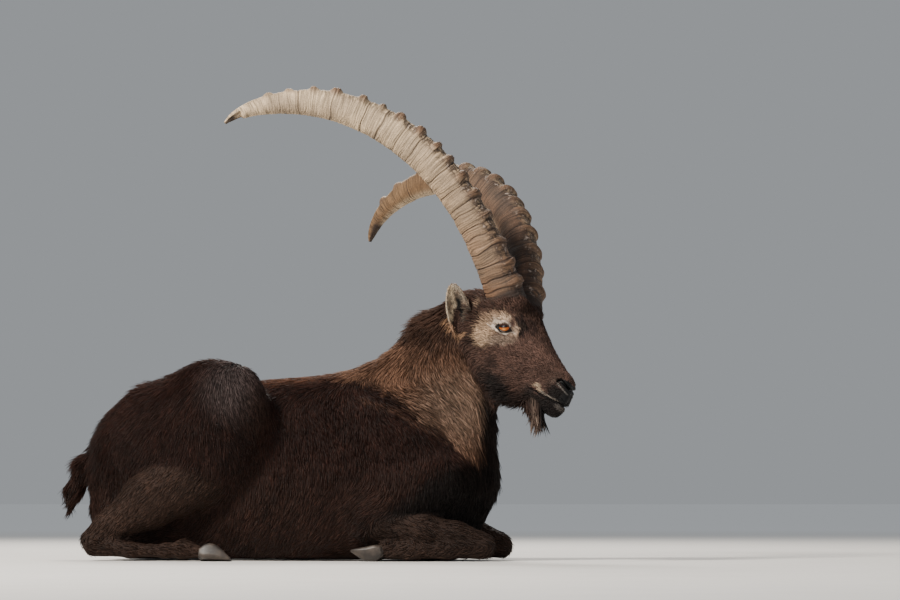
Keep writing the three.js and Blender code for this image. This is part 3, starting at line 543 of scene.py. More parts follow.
def sculpt(points, facing):
    side = np.where(to_face(points)[:, 1] < 0, -1.0, 1.0)
    q, out = head_of(points), facing @ face_axes
    out[:, 1] *= side
    x, y, z = q.T
    front = smooth(-6, 10, y)
    lift = np.zeros(len(q))
    lift += 3.2 * np.exp(-((x - 50) / 26) ** 2 - ((z + 27) / 8) ** 2) * front
    lift -= 3.0 * np.exp(-((x - 86) / 13) ** 2 - ((z + 52) / 13) ** 2) * front
    lift -= 2.0 * np.exp(-(from_line(TEAR_LINE, x, z) / 4) ** 2) * front
    lift -= 2.6 * np.exp(-(from_line(JAW_LINE, x, z) / 11) ** 2) * front
    lift += 2.0 * np.exp(-(from_line(CHEEK_LINE, x, z) / 8) ** 2) * front
    lift += 3.0 * np.exp(-((x - 196) / 20) ** 2) * smooth(-45, -25, z)
    lips = from_line(MOUTH, x, z)
    lift += 1.5 * np.exp(-((lips - 7) / 4) ** 2) * smooth(180, 200, x) * front
    lift -= 4.2 * smooth(3.4, 0.6, lips) * smooth(0, 4, y)
    nose = from_line(NOSTRIL, x, z)
    opening = mix(4.2, 2.0, smooth(213, 238, x))
    lift += 1.4 * np.exp(-((nose - opening - 2.6) / 2.2) ** 2) * front
    lift += 1.3 * np.exp(-(from_line(NOSTRIL_RIM, x, z) / 2.0) ** 2) * front
    lift -= 7.5 * smooth(opening + 1.2, opening - 1.6, nose) * smooth(3, 7, y)
    lift -= 1.8 * np.exp(-(y / 2.6) ** 2) * smooth(246, 254, x) * smooth(-80, -66, z) * smooth(-44, -52, z)
    lift += 2.4 * np.exp(-((x - 262) / 8) ** 2 - ((z + 71) / 6) ** 2)
    lift -= 1.2 * np.exp(-((x - 266) / 6) ** 2 - ((z + 54) / 6) ** 2)
    q = q + out * lift[:, None]

    gap, over = almond(q)[:2]
    away = q - EYE
    far = lengths(away)
    lid = EYE_RADIUS + 2.2 + 1.6 * smooth(-2, 3, over) + 0.8 * np.exp(-((gap - 1.4) / 1.1) ** 2)
    lid -= 1.8 * np.exp(-((gap - 6.5) / 1.3) ** 2) * smooth(-1, 3, over)
    lid -= 1.0 * np.exp(-((gap - 6.0) / 1.5) ** 2) * smooth(0, -3, over)
    want = mix(EYE_RADIUS - 1.4, lid, smooth(-0.6, 0.3, gap))
    hold = smooth(14, 6, gap) * smooth(0, 8, away[:, 1]) * smooth(44, 30, far)
    q = EYE + away * (mix(far, want, hold) / far)[:, None]
    q[:, 1] *= side
    return HORN_ROOTS + q @ face_axes.T


points = places(skin_mesh)
facing = normals(skin_mesh)
on_face = (past_cut(points) > 0) & (flesh(points) < 6)
points[on_face] = sculpt(points[on_face], facing[on_face])
move_to(skin_mesh, points)
skin_mesh.shade_smooth()

# %% [markdown]
# ## An unwrap of the skin
# Every tuft of hair will take its place on the texture from its root, so the skin is unwrapped once, here.

# %% Unwrap the skin
bpy.context.view_layer.objects.active = skin
skin.select_set(True)
bpy.ops.object.mode_set(mode="EDIT")
bpy.ops.mesh.select_all(action="SELECT")
bpy.ops.uv.smart_project(angle_limit=math.radians(66), island_margin=0.002)
bpy.ops.object.mode_set(mode="OBJECT")
skin_mesh.uv_layers[0].name = "unwrap"
print("unwrapped")

# %% [markdown]
# ## The lie of the coat
# Like strokes of a comb: each line below is a place and the way the hair runs there. Every point of the skin takes
# the average of the strokes near it. Strokes on the right side are mirrored to the left. The face has its own list.

# %% Comb strokes
BODY_STROKES = (
    ((-100, 0, 400), (-1, 0, -0.1)), ((-300, 0, 390), (-1, 0, 0)), ((-550, -30, 375), (-1, 0, -0.2)),
    ((-700, -20, 310), (-0.8, 0, -0.7)), ((-770, -30, 200), (-0.3, 0, -1)), ((-200, -150, 270), (0.3, 0, -1)),
    ((-265, -170, 328), (0.55, 0, -0.8)), ((-330, -170, 300), (0.6, 0, -0.8)), ((-370, -160, 350), (0.6, 0, -0.8)),
    ((-240, -125, 380), (-0.4, 0, -0.9)), ((-330, -120, 378), (-0.4, 0, -0.9)), ((-400, -120, 385), (-0.4, 0, -0.9)),
    ((-150, -52, 402), (-0.3, 0, -0.95)), ((-90, -60, 425), (-0.3, 0, -0.9)),
    ((-330, -190, 180), (0.1, 0, -1)), ((-300, -170, 60), (-0.5, 0, -0.8)), ((-470, -130, 412), (-0.6, -0.45, -0.7)),
    ((-430, -200, 370), (0.35, 0, -0.9)), ((-520, -210, 330), (-0.4, 0, -0.9)), ((-640, -150, 300), (-0.8, 0, -0.55)),
    ((-560, -200, 230), (-0.5, 0, -0.9)), ((-680, -150, 200), (-0.6, 0, -0.8)), ((-400, -200, 290), (0.4, 0, -1)),
    ((-80, -130, 240), (0.3, 0, -1)), ((-20, -130, 150), (-0.2, 0, -1)), ((-130, -160, 90), (-0.7, 0, -0.6)),
    ((90, 0, 200), (-0.1, 0, -1)), ((70, -80, 230), (0.15, 0, -1)), ((70, -20, 60), (-0.5, 0, -0.8)),
    ((-20, 0, 500), (-0.75, 0, -0.65)), ((-90, 0, 440), (-0.8, 0, -0.6)), ((40, 0, 550), (-0.8, 0, -0.5)),
    ((20, -60, 490), (-0.4, 0, -0.9)), ((-32, -60, 480), (-0.6, 0, -0.8)), ((-8, -90, 412), (0.6, 0, -0.7)),
    ((-150, -90, 380), (0.9, 0, -0.35)), ((-70, -105, 352), (0.9, 0, -0.5)), ((-20, -105, 314), (0.85, 0, -0.6)),
    ((30, -95, 362), (0.85, 0, -0.65)), ((30, -95, 290), (0.8, 0, -0.75)), ((80, -70, 326), (0.35, 0, -1)),
    ((54, -75, 422), (0.65, 0, -0.7)), ((110, -20, 390), (0.1, 0, -1)), ((105, 0, 300), (0, 0, -1)),
    ((-600, -60, 0), (-1, 0, 0)), ((-200, -60, 0), (-1, 0, 0)), ((90, -40, 470), (0.2, 0, -1)),
)
FACE_STROKES = (
    ((250, -6, -35), (-0.7, 0, 0.7)), ((200, -8, -22), (-1, -0.2, 0.1)), ((130, -8, -14), (-1, -0.2, 0.1)),
    ((70, -8, 12), (-1, -0.1, 0.3)), ((30, -20, 30), (-1, -0.3, 0.2)), ((226, -20, -70), (-0.9, 0, -0.5)),
    ((170, -28, -60), (-1, -0.1, -0.25)), ((120, -36, -70), (-1, -0.1, -0.35)), ((84, -44, -40), (-0.7, 0, 0.5)),
    ((58, -50, -20), (-1, -0.1, 0.3)), ((60, -52, -74), (-1, -0.1, -0.4)), ((20, -56, -50), (-1, -0.2, -0.2)),
    ((80, -46, -120), (-0.8, 0, -0.7)), ((150, -28, -130), (-0.8, 0, -0.6)), ((220, -16, -105), (-0.8, 0, -0.7)),
    ((0, -56, -100), (-0.8, 0, -0.7)), ((20, -40, -160), (-0.9, 0, -0.6)), ((-20, -20, 0), (-1, -0.1, 0)),
    ((100, -4, -172), (-1, 0, -0.1)), ((-60, -40, -90), (-0.9, 0, -0.6)), ((250, -4, -100), (-0.7, 0, -0.7)),
)


def combed(points, strokes, spread):
    total, weights = np.zeros_like(points), np.zeros(len(points))
    for side in (1, -1):
        for place, way in strokes:
            mirror = np.array((1, side, 1))
            weight = 1 / (((points - np.array(place) * mirror) ** 2).sum(1) + spread ** 2) ** 2
            total += weight[:, None] * unit(way) * mirror
            weights += weight
    return total / weights[:, None]


def swirls(points, size, seed):
    shift = Vector((seed * 37.1, seed * 11.3, seed * 5.7))
    return np.array([noise.noise_vector(Vector(p / size) + shift) for p in points])


# %% Hair direction, length and cover at every point of the skin
BEARD_ROOT, BEARD_SIZE, BEARD_LENGTH = np.array((76.0, -5, -220)), (27, 15, 30), 58
points, facing = places(skin_mesh), normals(skin_mesh)
q, h = head_of(points), to_head(points)
head_share, neck_share = on_the_head(points), on_the_neck(points)
ears = is_ear(points, 3)
limb_gap = np.stack([field(points) for field in leg_fields.values()], 1)
nearest_limb, limb_gap = limb_gap.argmin(1), limb_gap.min(1)
body_gap = flesh(points)
limb = smooth(6, -6, limb_gap - body_gap) * (1 - head_share)
tail_share = smooth(30, 8, tail(points)) * smooth(-735, -775, points[:, 0])

flow = combed(points, BODY_STROKES, 40)
face_flow = combed(to_face(points), FACE_STROKES, 12) @ face_axes.T
flow = mix(flow, face_flow, smooth(-10, 40, past_cut(points))[:, None])
limb_ways = np.array([unit(np.subtract(shape[0][-1], shape[0][0])) for shape in LEGS.values()])
flow = mix(flow, limb_ways[nearest_limb] + (0, 0, -0.25), limb[:, None])
flow = mix(flow, np.array((-0.5, 0, -1.0)), tail_share[:, None])
for name, sign in SIDES:
    root, tip, faces = EARS[name]
    mine = ears & (h[:, 1] * sign > 0)
    flow[mine] = head_axes @ unit(np.subtract(tip, root))

# %% Turn the hair here and there, and lay it flat on the skin
noise.seed_set(4)
roll = swirls(points, 90, 1) * 0.5 + swirls(points, 28, 2) * 0.4
calm = mix(mix(0.6, 0.22, head_share), 0.25, np.maximum(limb, ears))
flow = unit(flow) + roll * calm[:, None]
flow = unit(flow - (flow * facing).sum(1)[:, None] * facing)
print("hair runs over", len(flow), "points")

# %% How long the hair is, and how far it stands up
clump = np.array([noise.noise(Vector(p / 34)) for p in points])
nape = smooth(40, 12, np.abs(points[:, 1] + 8)) * smooth(-185, -105, points[:, 0]) * (points[:, 2] > 360)
nape *= smooth(110, 60, points[:, 0])
throat = neck_share * smooth(20, 90, points[:, 0])
back = smooth(60, 10, np.abs(points[:, 1])) * (facing[:, 2] > 0.6) * (1 - head_share)
face_hair = mix(22, mix(11, 6, smooth(150, 235, q[:, 0])), smooth(-30, 50, q[:, 0]))
hair = np.full(len(points), 22.0)
for length, share in ((25, back), (31, neck_share), (42, throat), (40, nape), (face_hair, head_share), (15, limb),
                      (32, tail_share)):
    hair = mix(hair, length, share)
saddle = spot(points, (-575, -100, 372), (78, 80, 42), 1.0)
rump_end = spot(points, (-750, -30, 270), (60, 130, 90), 1.0)
throat_corner = spot(points, (98, -20, 325), (36, 52, 46), 1.0)
jaw_hair = spot(points, (138, -88, 332), (46, 46, 24), 1.0) * (facing[:, 2] < 0.1)
poll = spot(points, (-38, -10, 520), (46, 46, 50), 1.0) * ~ears
ruffs = ((poll, 42, 34), (saddle, 32, 30), (rump_end, 36, 28), (throat_corner, 38, 32), (jaw_hair, 22, 46))
hair[ears] = 5
ear_root_gap = from_line(((-88, -80), (-96, -30)), h[:, 0], h[:, 2])
near_ear = head_share * smooth(30, 12, ear_root_gap) * (np.abs(h[:, 1]) > 30)
hair = mix(hair, 7, near_ear * ~ears)
hair *= 1 + 0.28 * clump * (1 - head_share)
beard = smooth(1.15, 0.85, lengths((h - BEARD_ROOT) / BEARD_SIZE)) * (facing @ head_axes[:, 2] < 0.1)
hangs = beard > 0.3
from_middle = np.clip(np.abs(h[hangs, 0] - BEARD_ROOT[0]) / BEARD_SIZE[0], 0, 1)
hair[hangs] = BEARD_LENGTH - 14 * from_middle ** 2
stand = np.full(len(points), 12.0)
for angle, share in ((16, neck_share), (24, nape), (18, head_share), (12, limb)):
    stand = mix(stand, angle, share)
for share, length, angle in ruffs:
    hair, stand = mix(hair, length, share), mix(stand, angle, share)
stand = np.radians(stand)[:, None]
way = flow * np.cos(stand) + facing * np.sin(stand)
comb = facing.copy()
spread_out = (h[hangs] - BEARD_ROOT) * (-0.005, -0.012, 0)
way[hangs] = unit(np.array((0.2, 0, -1.0)) + spread_out) @ head_axes.T
comb[hangs] = -head_axes[:, 0]
print("hair", hair.min().round(1), "to", hair.max().round(1), "mm long")

# %% Where each layer grows
near_eye = lengths(q - EYE) < 34
_, over_eye, lid_gap, along_lids = almond(q)
lid_gap = np.where(near_eye, lid_gap, 99)
nose_gap = from_line(NOSTRIL, q[:, 0], q[:, 2])
pad_gap = from_line(NOSE_PAD, q[:, 0], q[:, 2])
bare = (lid_gap < 6.5 + 4 * smooth(6, 16, q[:, 0] - EYE[0])) | ((nose_gap < 4.6) & (q[:, 0] > 200))
bare |= (pad_gap < 6.5) & (q[:, 0] > 215)
bare |= (q[:, 0] > 245) & (q[:, 2] > -66) & (q[:, 2] < -36)
under = (points[:, 2] < 12) & (facing[:, 2] < -0.7)
open_skin = 1.0 - np.maximum(bare, under)
on_limb = limb > 0.5
covers = {
    "cover_face": open_skin * (past_cut(points) > 35) * ~ears * ~hangs,
    "cover_beard": 1.0 * hangs,
    "cover_ears": open_skin * ears,
    "cover_legs": open_skin * on_limb * ~ears,
    "cover_neck": open_skin * ((neck_share > 0.25) | ((head_share > 0) & (q[:, 0] < 40))) * ~on_limb * ~ears
    * (past_cut(points) <= 35),
    "cover_nape": open_skin * nape * ~ears,
    "cover_guard": open_skin * np.clip(neck_share + 0.35, 0, 1) * ~on_limb * ~ears * (head_share < 0.3),
}
covers["cover_body"] = open_skin * ~on_limb * ~ears * (covers["cover_neck"] == 0) * (covers["cover_face"] == 0)


def store(mesh, name, values):
    kind = "FLOAT_VECTOR" if values.ndim > 1 else "FLOAT"
    attribute = mesh.attributes.new(name, kind, "POINT")
    attribute.data.foreach_set("vector" if values.ndim > 1 else "value", np.asarray(values, np.float32).ravel())


store(skin_mesh, "way", way)
store(skin_mesh, "comb", comb)
store(skin_mesh, "hair", hair / 1000)
for name, cover in covers.items():
    store(skin_mesh, name, np.asarray(cover, float))
print("combed", len(points), "points")

# %% [markdown]
# ## Tufts
# A tuft is a pointed lock of a few hairs, with three sides and only ten triangles, because there will be some eighty
# thousand of them. It is one unit long, along x, so that a tree can stretch it to any length. Longer kinds, for guard
# hairs, the nape and the beard, have more joints, so they can curl.

# %% Tuft shapes
def tuft(name, stops, sag, sway, thick, waist=0.3):
    points, faces, patches, along = [], [], [], []
    for t in stops:
        share = math.sin(math.pi * mix(waist, 1, t)) ** 0.75
        x, y, z = t - 0.06, sway * t * t, -sag * t * t
        for u, v in ((-0.5, -0.35), (0.5, -0.35), (0, 0.65)):
            points.append((x, y + u * share, z + v * thick * share))
            patches.append((t, u + 0.5))
            along.append(t)
    points.append((0.97, sway, -sag))
    patches.append((1, 0.5))
    along.append(1.0)
    tip = len(points) - 1
    for r in range(len(stops) - 1):
        for i in range(3):
            a, b = r * 3 + i, r * 3 + (i + 1) % 3
            faces.append((a, a + 3, b + 3, b))
    faces += [(tip - 3 + i, tip, tip - 3 + (i + 1) % 3) for i in range(3)]
    faces.append((0, 1, 2))
    mesh = bpy.data.meshes.new(name)
    mesh.from_pydata(points, [], faces)
    mesh.shade_smooth()
    patch = mesh.attributes.new("patch", "FLOAT_VECTOR", "POINT")
    patch.data.foreach_set("vector", np.array([(u - 0.5, v - 0.5, 0) for u, v in patches], np.float32).ravel())
    store(mesh, "along", np.array(along))
    return bpy.data.objects.new(name, mesh)


def tuft_kinds(name, stops, sags, sways, thick, waist=0.3):
    kinds = bpy.data.collections.new(name)
    for i, (sag, sway) in enumerate(zip(sags, sways)):
        kinds.objects.link(tuft(f"{name}_{i}", stops, sag, sway, thick, waist))
    return kinds


short_tufts = tuft_kinds("short_tufts", (0, 0.45), (0.16, 0.2, 0.22, 0.12), (0, 0.9, -0.9, 0.4), 0.045)
beard_locks = tuft_kinds("beard_locks", (0, 0.25, 0.5, 0.7, 0.88), (-0.12, 0.1, -0.26, 0.04), (0, 1.8, -1.8, 0.8),
                         0.04)
long_tufts = tuft_kinds("long_tufts", (0, 0.3, 0.6, 0.85), (0.22, 0.3, 0.34, 0.16), (0, 1.6, -1.6, 0.7), 0.035, 0.34)

# %% [markdown]
# ## Growing the coat
# One Geometry Nodes tree grows every layer: points are scattered evenly where the layer's cover allows, and each gets
# a tuft turned to the hair's way. The tree also notes the root's place, which keeps markings whole along a tuft. Hair
# curves would be easier to comb, but an exported model keeps only meshes.

# %% A tree that grows tufts
def add(tree, kind, **values):
    made = tree.nodes.new(kind)
    for name, value in values.items():
        setattr(made, name, value)
    return made


def feed(tree, socket, value):
    if isinstance(value, bpy.types.NodeSocket):
        tree.links.new(value, socket)
    else:
        socket.default_value = value


def maths(tree, operation, *values, kind="ShaderNodeMath"):
    made = add(tree, kind, operation=operation)
    for socket, value in zip(made.inputs, values):
        feed(tree, socket, value)
    return made.outputs[0]


def named(tree, name, kind="FLOAT"):
    made = add(tree, "GeometryNodeInputNamedAttribute", data_type=kind)
    feed(tree, made.inputs["Name"], name)
    return made.outputs["Attribute"]


def chance(tree, low, high, seed, kind="FLOAT"):
    made = add(tree, "FunctionNodeRandomValue", data_type=kind)
    pairs = {"FLOAT": (2, 3), "FLOAT_VECTOR": (0, 1)}[kind]
    feed(tree, made.inputs[pairs[0]], low)
    feed(tree, made.inputs[pairs[1]], high)
    feed(tree, made.inputs["Seed"], seed)
    return made.outputs[{"FLOAT": 1, "FLOAT_VECTOR": 0}[kind]]


def keep(tree, geometry, name, value, kind="FLOAT", domain="POINT"):
    made = add(tree, "GeometryNodeStoreNamedAttribute", data_type=kind, domain=domain)
    feed(tree, made.inputs["Geometry"], geometry)
    feed(tree, made.inputs["Name"], name)
    feed(tree, made.inputs["Value"], value)
    return made.outputs[0]


CROWDING = 2.2
PATCH_SIZE = 0.003


def coat_tree():
    tree = bpy.data.node_groups.new("coat of tufts", "GeometryNodeTree")
    face = tree.interface
    for name, kind in (("Skin", "Geometry"), ("Tufts", "Collection"), ("Cover", "String"), ("Spacing", "Float"),
                       ("Width", "Float"), ("Ruffle", "Float"), ("Parts", "Int"), ("Part", "Int"), ("Seed", "Int"),
                       ("Finish", "Material")):
        face.new_socket(name, in_out="INPUT", socket_type="NodeSocket" + kind)
    face.new_socket("Coat", in_out="OUTPUT", socket_type="NodeSocketGeometry")
    given = add(tree, "NodeGroupInput").outputs
    scatter = add(tree, "GeometryNodeDistributePointsOnFaces", distribute_method="POISSON")
    feed(tree, scatter.inputs["Mesh"], given["Skin"])
    feed(tree, scatter.inputs["Distance Min"], given["Spacing"])
    room = maths(tree, "MULTIPLY", given["Spacing"], given["Spacing"])
    feed(tree, scatter.inputs["Density Max"], maths(tree, "DIVIDE", CROWDING, room))
    feed(tree, scatter.inputs["Density Factor"], named(tree, given["Cover"]))
    feed(tree, scatter.inputs["Seed"], given["Seed"])

    part = maths(tree, "MODULO", add(tree, "GeometryNodeInputIndex").outputs[0], given["Parts"])
    others = maths(tree, "GREATER_THAN", maths(tree, "ABSOLUTE", maths(tree, "SUBTRACT", part, given["Part"])), 0.5)
    thin = add(tree, "GeometryNodeDeleteGeometry", domain="POINT")
    feed(tree, thin.inputs["Geometry"], scatter.outputs["Points"])
    feed(tree, thin.inputs["Selection"], others)

    roots = keep(tree, thin.outputs[0], "root", add(tree, "GeometryNodeInputPosition").outputs[0], "FLOAT_VECTOR")
    roots = keep(tree, roots, "shade", chance(tree, 0.0, 1.0, 5))
    ruffle = add(tree, "ShaderNodeVectorMath", operation="SCALE")
    feed(tree, ruffle.inputs[0], chance(tree, (-1, -1, -1), (1, 1, 1), 6, "FLOAT_VECTOR"))
    feed(tree, ruffle.inputs["Scale"], given["Ruffle"])
    way = maths(tree, "ADD", named(tree, "way", "FLOAT_VECTOR"), ruffle.outputs[0], kind="ShaderNodeVectorMath")
    aim = add(tree, "FunctionNodeAxesToRotation", primary_axis="X", secondary_axis="Z")
    feed(tree, aim.inputs["Primary Axis"], way)
    feed(tree, aim.inputs["Secondary Axis"], named(tree, "comb", "FLOAT_VECTOR"))
    long = maths(tree, "MULTIPLY", named(tree, "hair"), chance(tree, 0.7, 1.25, 7))
    wide = maths(tree, "MULTIPLY", given["Width"], chance(tree, 0.7, 1.3, 8))
    size = add(tree, "ShaderNodeCombineXYZ")
    for socket, value in zip(size.inputs, (long, wide, long)):
        feed(tree, socket, value)

    kinds = add(tree, "GeometryNodeCollectionInfo")
    feed(tree, kinds.inputs["Collection"], given["Tufts"])
    kinds.inputs["Separate Children"].default_value = True
    kinds.inputs["Reset Children"].default_value = True
    grow = add(tree, "GeometryNodeInstanceOnPoints")
    grow.inputs["Pick Instance"].default_value = True
    pick = maths(tree, "FLOOR", chance(tree, 0.0, 3.99, 9))
    for name, value in (("Points", roots), ("Instance", kinds.outputs[0]), ("Instance Index", pick),
                        ("Rotation", aim.outputs[0]), ("Scale", size.outputs[0])):
        feed(tree, grow.inputs[name], value)
    real = add(tree, "GeometryNodeRealizeInstances")
    feed(tree, real.inputs[0], grow.outputs[0])
    patch = add(tree, "ShaderNodeVectorMath", operation="MULTIPLY_ADD")
    feed(tree, patch.inputs[0], named(tree, "patch", "FLOAT_VECTOR"))
    patch.inputs[1].default_value = (PATCH_SIZE, PATCH_SIZE, 0)
    feed(tree, patch.inputs[2], named(tree, "unwrap", "FLOAT_VECTOR"))
    coat = keep(tree, real.outputs[0], "OFBake", patch.outputs[0], "FLOAT2", "CORNER")
    paint = add(tree, "GeometryNodeSetMaterial")
    feed(tree, paint.inputs["Geometry"], coat)
    feed(tree, paint.inputs["Material"], given["Finish"])
    feed(tree, add(tree, "NodeGroupOutput").inputs[0], paint.outputs[0])
    return tree


COAT_TREE = coat_tree()
print("coat tree", len(COAT_TREE.nodes), "nodes")

# %% [markdown]
# ## Markings, and painted light and shade
# The colours are painted on the skin's points by simple masks, and every tuft inherits the colour at its root, so
# skin and coat always agree. Each mask goes over the ones before it, from the chocolate body and the warmer neck to
# the pale lids, the black nose and the dark chin. Some masks paint light and shade instead: a sunlit back, a sheen on
# the haunch, shade on the throat, the jaw and above the lids, and highlights on the nostrils, the lower lip and ears.

# %% The colours and lines of the markings
CHOCOLATE, RUSSET, FAWN = (0.0215, 0.0088, 0.0064), (0.100, 0.043, 0.024), (0.165, 0.088, 0.055)
TAUPE, CREAM, SOOT = (0.082, 0.045, 0.034), (0.60, 0.42, 0.275), (0.006, 0.005, 0.005)
ASH, TAN, UMBER = (0.26, 0.215, 0.165), (0.26, 0.155, 0.095), (0.034, 0.017, 0.012)
CHEEK = (0.086, 0.048, 0.037)
NECK_FOLD = ((-330, 420), (-213, 388), (-140, 366), (-75, 327), (8, 266), (60, 212))
NECK_CREASE = ((-176, 340), (-101, 317), (-60, 290), (21, 264))
EYE_GROOVE = ((62, -11), (76, -19), (87, -25), (93, -37))
EAR_STRAND = ((-119, -52), (-105, -78), (-87, -94), (-75, -87))
LIP_EDGE = ((208, -86.5), (217, -84.5), (230, -81.5), (243, -77.5), (252, -74))


def blend(tint, colour, share):
    return mix(tint, np.array(colour), np.clip(share, 0, 1)[:, None])


def dab(tint, where, patches):
    for colour, centre, size, edge, strength in patches:
        tint = blend(tint, colour, spot(where, centre, size, edge) * strength)
    return tint


# %% Start with chocolate all over
drift = np.array([noise.noise(Vector(p / 60) + Vector((9, 3, 1))) for p in points])
fine = np.array([noise.noise(Vector(p / 11) + Vector((2, 7, 4))) for p in points])
ragged = q + (fine * 9)[:, None]
x, _, z = ragged.T
level = np.stack((h[:, 0], np.abs(h[:, 1]), h[:, 2]), 1) + (fine * 9)[:, None]
tint = np.tile(np.array(CHOCOLATE), (len(points), 1))

# %% Body, neck and throat
sunlit = smooth(0.8, 0.98, facing[:, 2]) * smooth(330, 370, points[:, 2]) * smooth(-410, -350, points[:, 0])
tint = blend(tint, RUSSET, sunlit * 0.8)
# Painted sheen: a greyish patch high on the haunch.
tint = blend(tint, (0.060, 0.044, 0.042), spot(points, (-425, -190, 365), (52, 80, 62), 1.2) * 0.9)
tint = blend(tint, (0.045, 0.026, 0.020), spot(points, (-330, -190, 325), (60, 60, 60), 1.2) * 0.6)
over_fold = points[:, 2] - np.interp(points[:, 0], *np.transpose(NECK_FOLD))
ruff = smooth(-12, 8, over_fold + 24 * fine) * smooth(-290, -190, points[:, 0]) * smooth(0.9, 0.3, head_share)
tint = blend(tint, FAWN, ruff * (0.85 + 0.35 * drift))
flank = np.stack((points[:, 0], np.abs(points[:, 1]), points[:, 2]), 1) + (30 * fine)[:, None]
tint = blend(tint, (0.285, 0.185, 0.132), ruff * spot(flank, (30, 85, 330), (80, 90, 66), 1.3))
tint = blend(tint, (0.040, 0.021, 0.015), spot(flank, (-5, 0, 500), (95, 200, 62), 0.9) * 0.85)
crease = smooth(6, 2, from_line(NECK_CREASE, points[:, 0], points[:, 2]) + 4 * fine) * (np.abs(points[:, 1]) > 60)
tint = blend(tint, (0.105, 0.055, 0.037), crease * 0.5)
# Painted shade: the front of the throat, turned away from the light, is darkened to near black.
across = 0.978 * points[:, 0] - 0.208 * np.abs(points[:, 1])
throat_shade = smooth(53, 68, across + 14 * fine) * smooth(380, 354, points[:, 2]) * smooth(110, 200, points[:, 2])
tint = blend(tint, (0.004, 0.003, 0.003), throat_shade * smooth(0.9, 0.4, head_share) * 0.97)
tint = blend(tint, UMBER, smooth(235, 120, points[:, 2]) * 0.5 * (1 - head_share))

# %% Face and cheeks
tint = blend(tint, TAUPE, smooth(0.15, 0.8, head_share))
tint = blend(tint, UMBER, smooth(60, -10, q[:, 0] + 30 * fine) * head_share * 0.7)
FACE_PATCHES = (
    (CHEEK, (128, 30, -70), (66, 60, 44), 0.9, 0.8),
    ((0.040, 0.022, 0.017), (150, 0, -12), (66, 22, 20), 0.9, 0.85),
    ((0.040, 0.022, 0.016), (205, 20, -52), (34, 30, 24), 0.9, 0.8),
    ((0.044, 0.023, 0.016), (55, 0, 14), (62, 42, 40), 0.6, 0.95),
    ((0.020, 0.011, 0.009), (88, 26, -18), (22, 16, 24), 0.9, 0.75),
    (UMBER, (-12, 52, -62), (18, 40, 30), 0.9, 0.8),
    # painted shade along the jaw line
    ((0.020, 0.012, 0.010), (90, 54, -114), (17, 40, 11), 1.1, 0.7),
    # painted shade under the jaw
    (SOOT, (138, 40, -146), (60, 60, 25), 1.0, 0.92),
)
tint = dab(tint, ragged, FACE_PATCHES)
PALE_PATCHES = (
    (CREAM, (-34, 56, -89), (17, 60, 23), 1.1, 0.92),
    ((0.50, 0.345, 0.225), (-22, 54, -73), (19, 60, 17), 1.0, 0.75),
    ((0.235, 0.172, 0.130), (4, 52, -99), (30, 60, 12), 0.8, 0.8),
    ((0.34, 0.23, 0.155), (-8, 50, -51), (30, 60, 9), 1.1, 0.85),
    ((0.56, 0.41, 0.285), (8, 50, -57), (20, 60, 8), 0.9, 0.85),
)
tint = dab(tint, level, PALE_PATCHES)
tint = blend(tint, (0.36, 0.26, 0.185), spot(ragged, (78, 46, -35), (11, 40, 13), 0.9) * 0.7)
groove = 0.88 * smooth(6.5, 3, from_line(EYE_GROOVE, x, z)) * (q[:, 1] > 16) * head_share
tint = blend(tint, (0.008, 0.005, 0.0045), groove)
tint = blend(tint, (0.36, 0.25, 0.17), spot(level, (-52, 50, -22), (4, 40, 12), 0.9) * 0.8)
ear_strand = smooth(6, 2.5, from_line(EAR_STRAND, h[:, 0], h[:, 2]) + 4 * fine) * (np.abs(h[:, 1]) > 35) * ~ears
tint = blend(tint, (0.40, 0.235, 0.135), ear_strand * 0.85)

# %% Nose and mouth
tint = blend(tint, (0.003, 0.0024, 0.0022), smooth(205, 230, x) * smooth(-50, -58, z) * 0.95)
tint = blend(tint, (0.008, 0.006, 0.0055), smooth(-89, -98, z) * smooth(160, 190, x) * 0.9)
tint = blend(tint, SOOT, smooth(238, 250, x) * smooth(-92, -80, z))
# Painted highlight: a grey spot on the lower lip.
tint = blend(tint, (0.085, 0.074, 0.066), spot(q, (257, 10, -84), (8, 30, 5), 0.9) * 0.75)
tint = blend(tint, SOOT, spot(q, (232, 14, -47.5), (13, 13, 5), 0.6))
tint = blend(tint, (0.10, 0.068, 0.052), spot(q, (212, 18, -53), (5, 20, 7), 0.9) * 0.8)
lip_gap, edge_gap = from_line(MOUTH, q[:, 0], q[:, 2]), from_line(LIP_EDGE, q[:, 0], q[:, 2])
tint = blend(tint, (0.36, 0.27, 0.185), spot(ragged, (199, 24, -84), (12, 40, 5), 0.7) * 0.9)
lip_edge = smooth(1.9, 0.7, edge_gap + 1.2 * fine) * smooth(0, 4, q[:, 1])
tint = blend(tint, (0.165, 0.140, 0.118), lip_edge * head_share)
leather = np.maximum(smooth(8, 6, pad_gap + 2 * fine) * (q[:, 2] > -60),
                     smooth(245, 250, q[:, 0]) * smooth(-80, -72, q[:, 2]))
leather = np.maximum(leather, smooth(5, 3.4, nose_gap)) * smooth(200, 206, q[:, 0]) * head_share
tint = blend(tint, (0.0035, 0.0035, 0.004), leather)
# Painted highlight: a grey line along the lower rim of each nostril.
nostril_rim_highlight = smooth(2.2, 0.8, from_line(NOSTRIL_RIM, q[:, 0], q[:, 2])) * (q[:, 1] > 5) * head_share
tint = blend(tint, (0.11, 0.10, 0.09), nostril_rim_highlight)

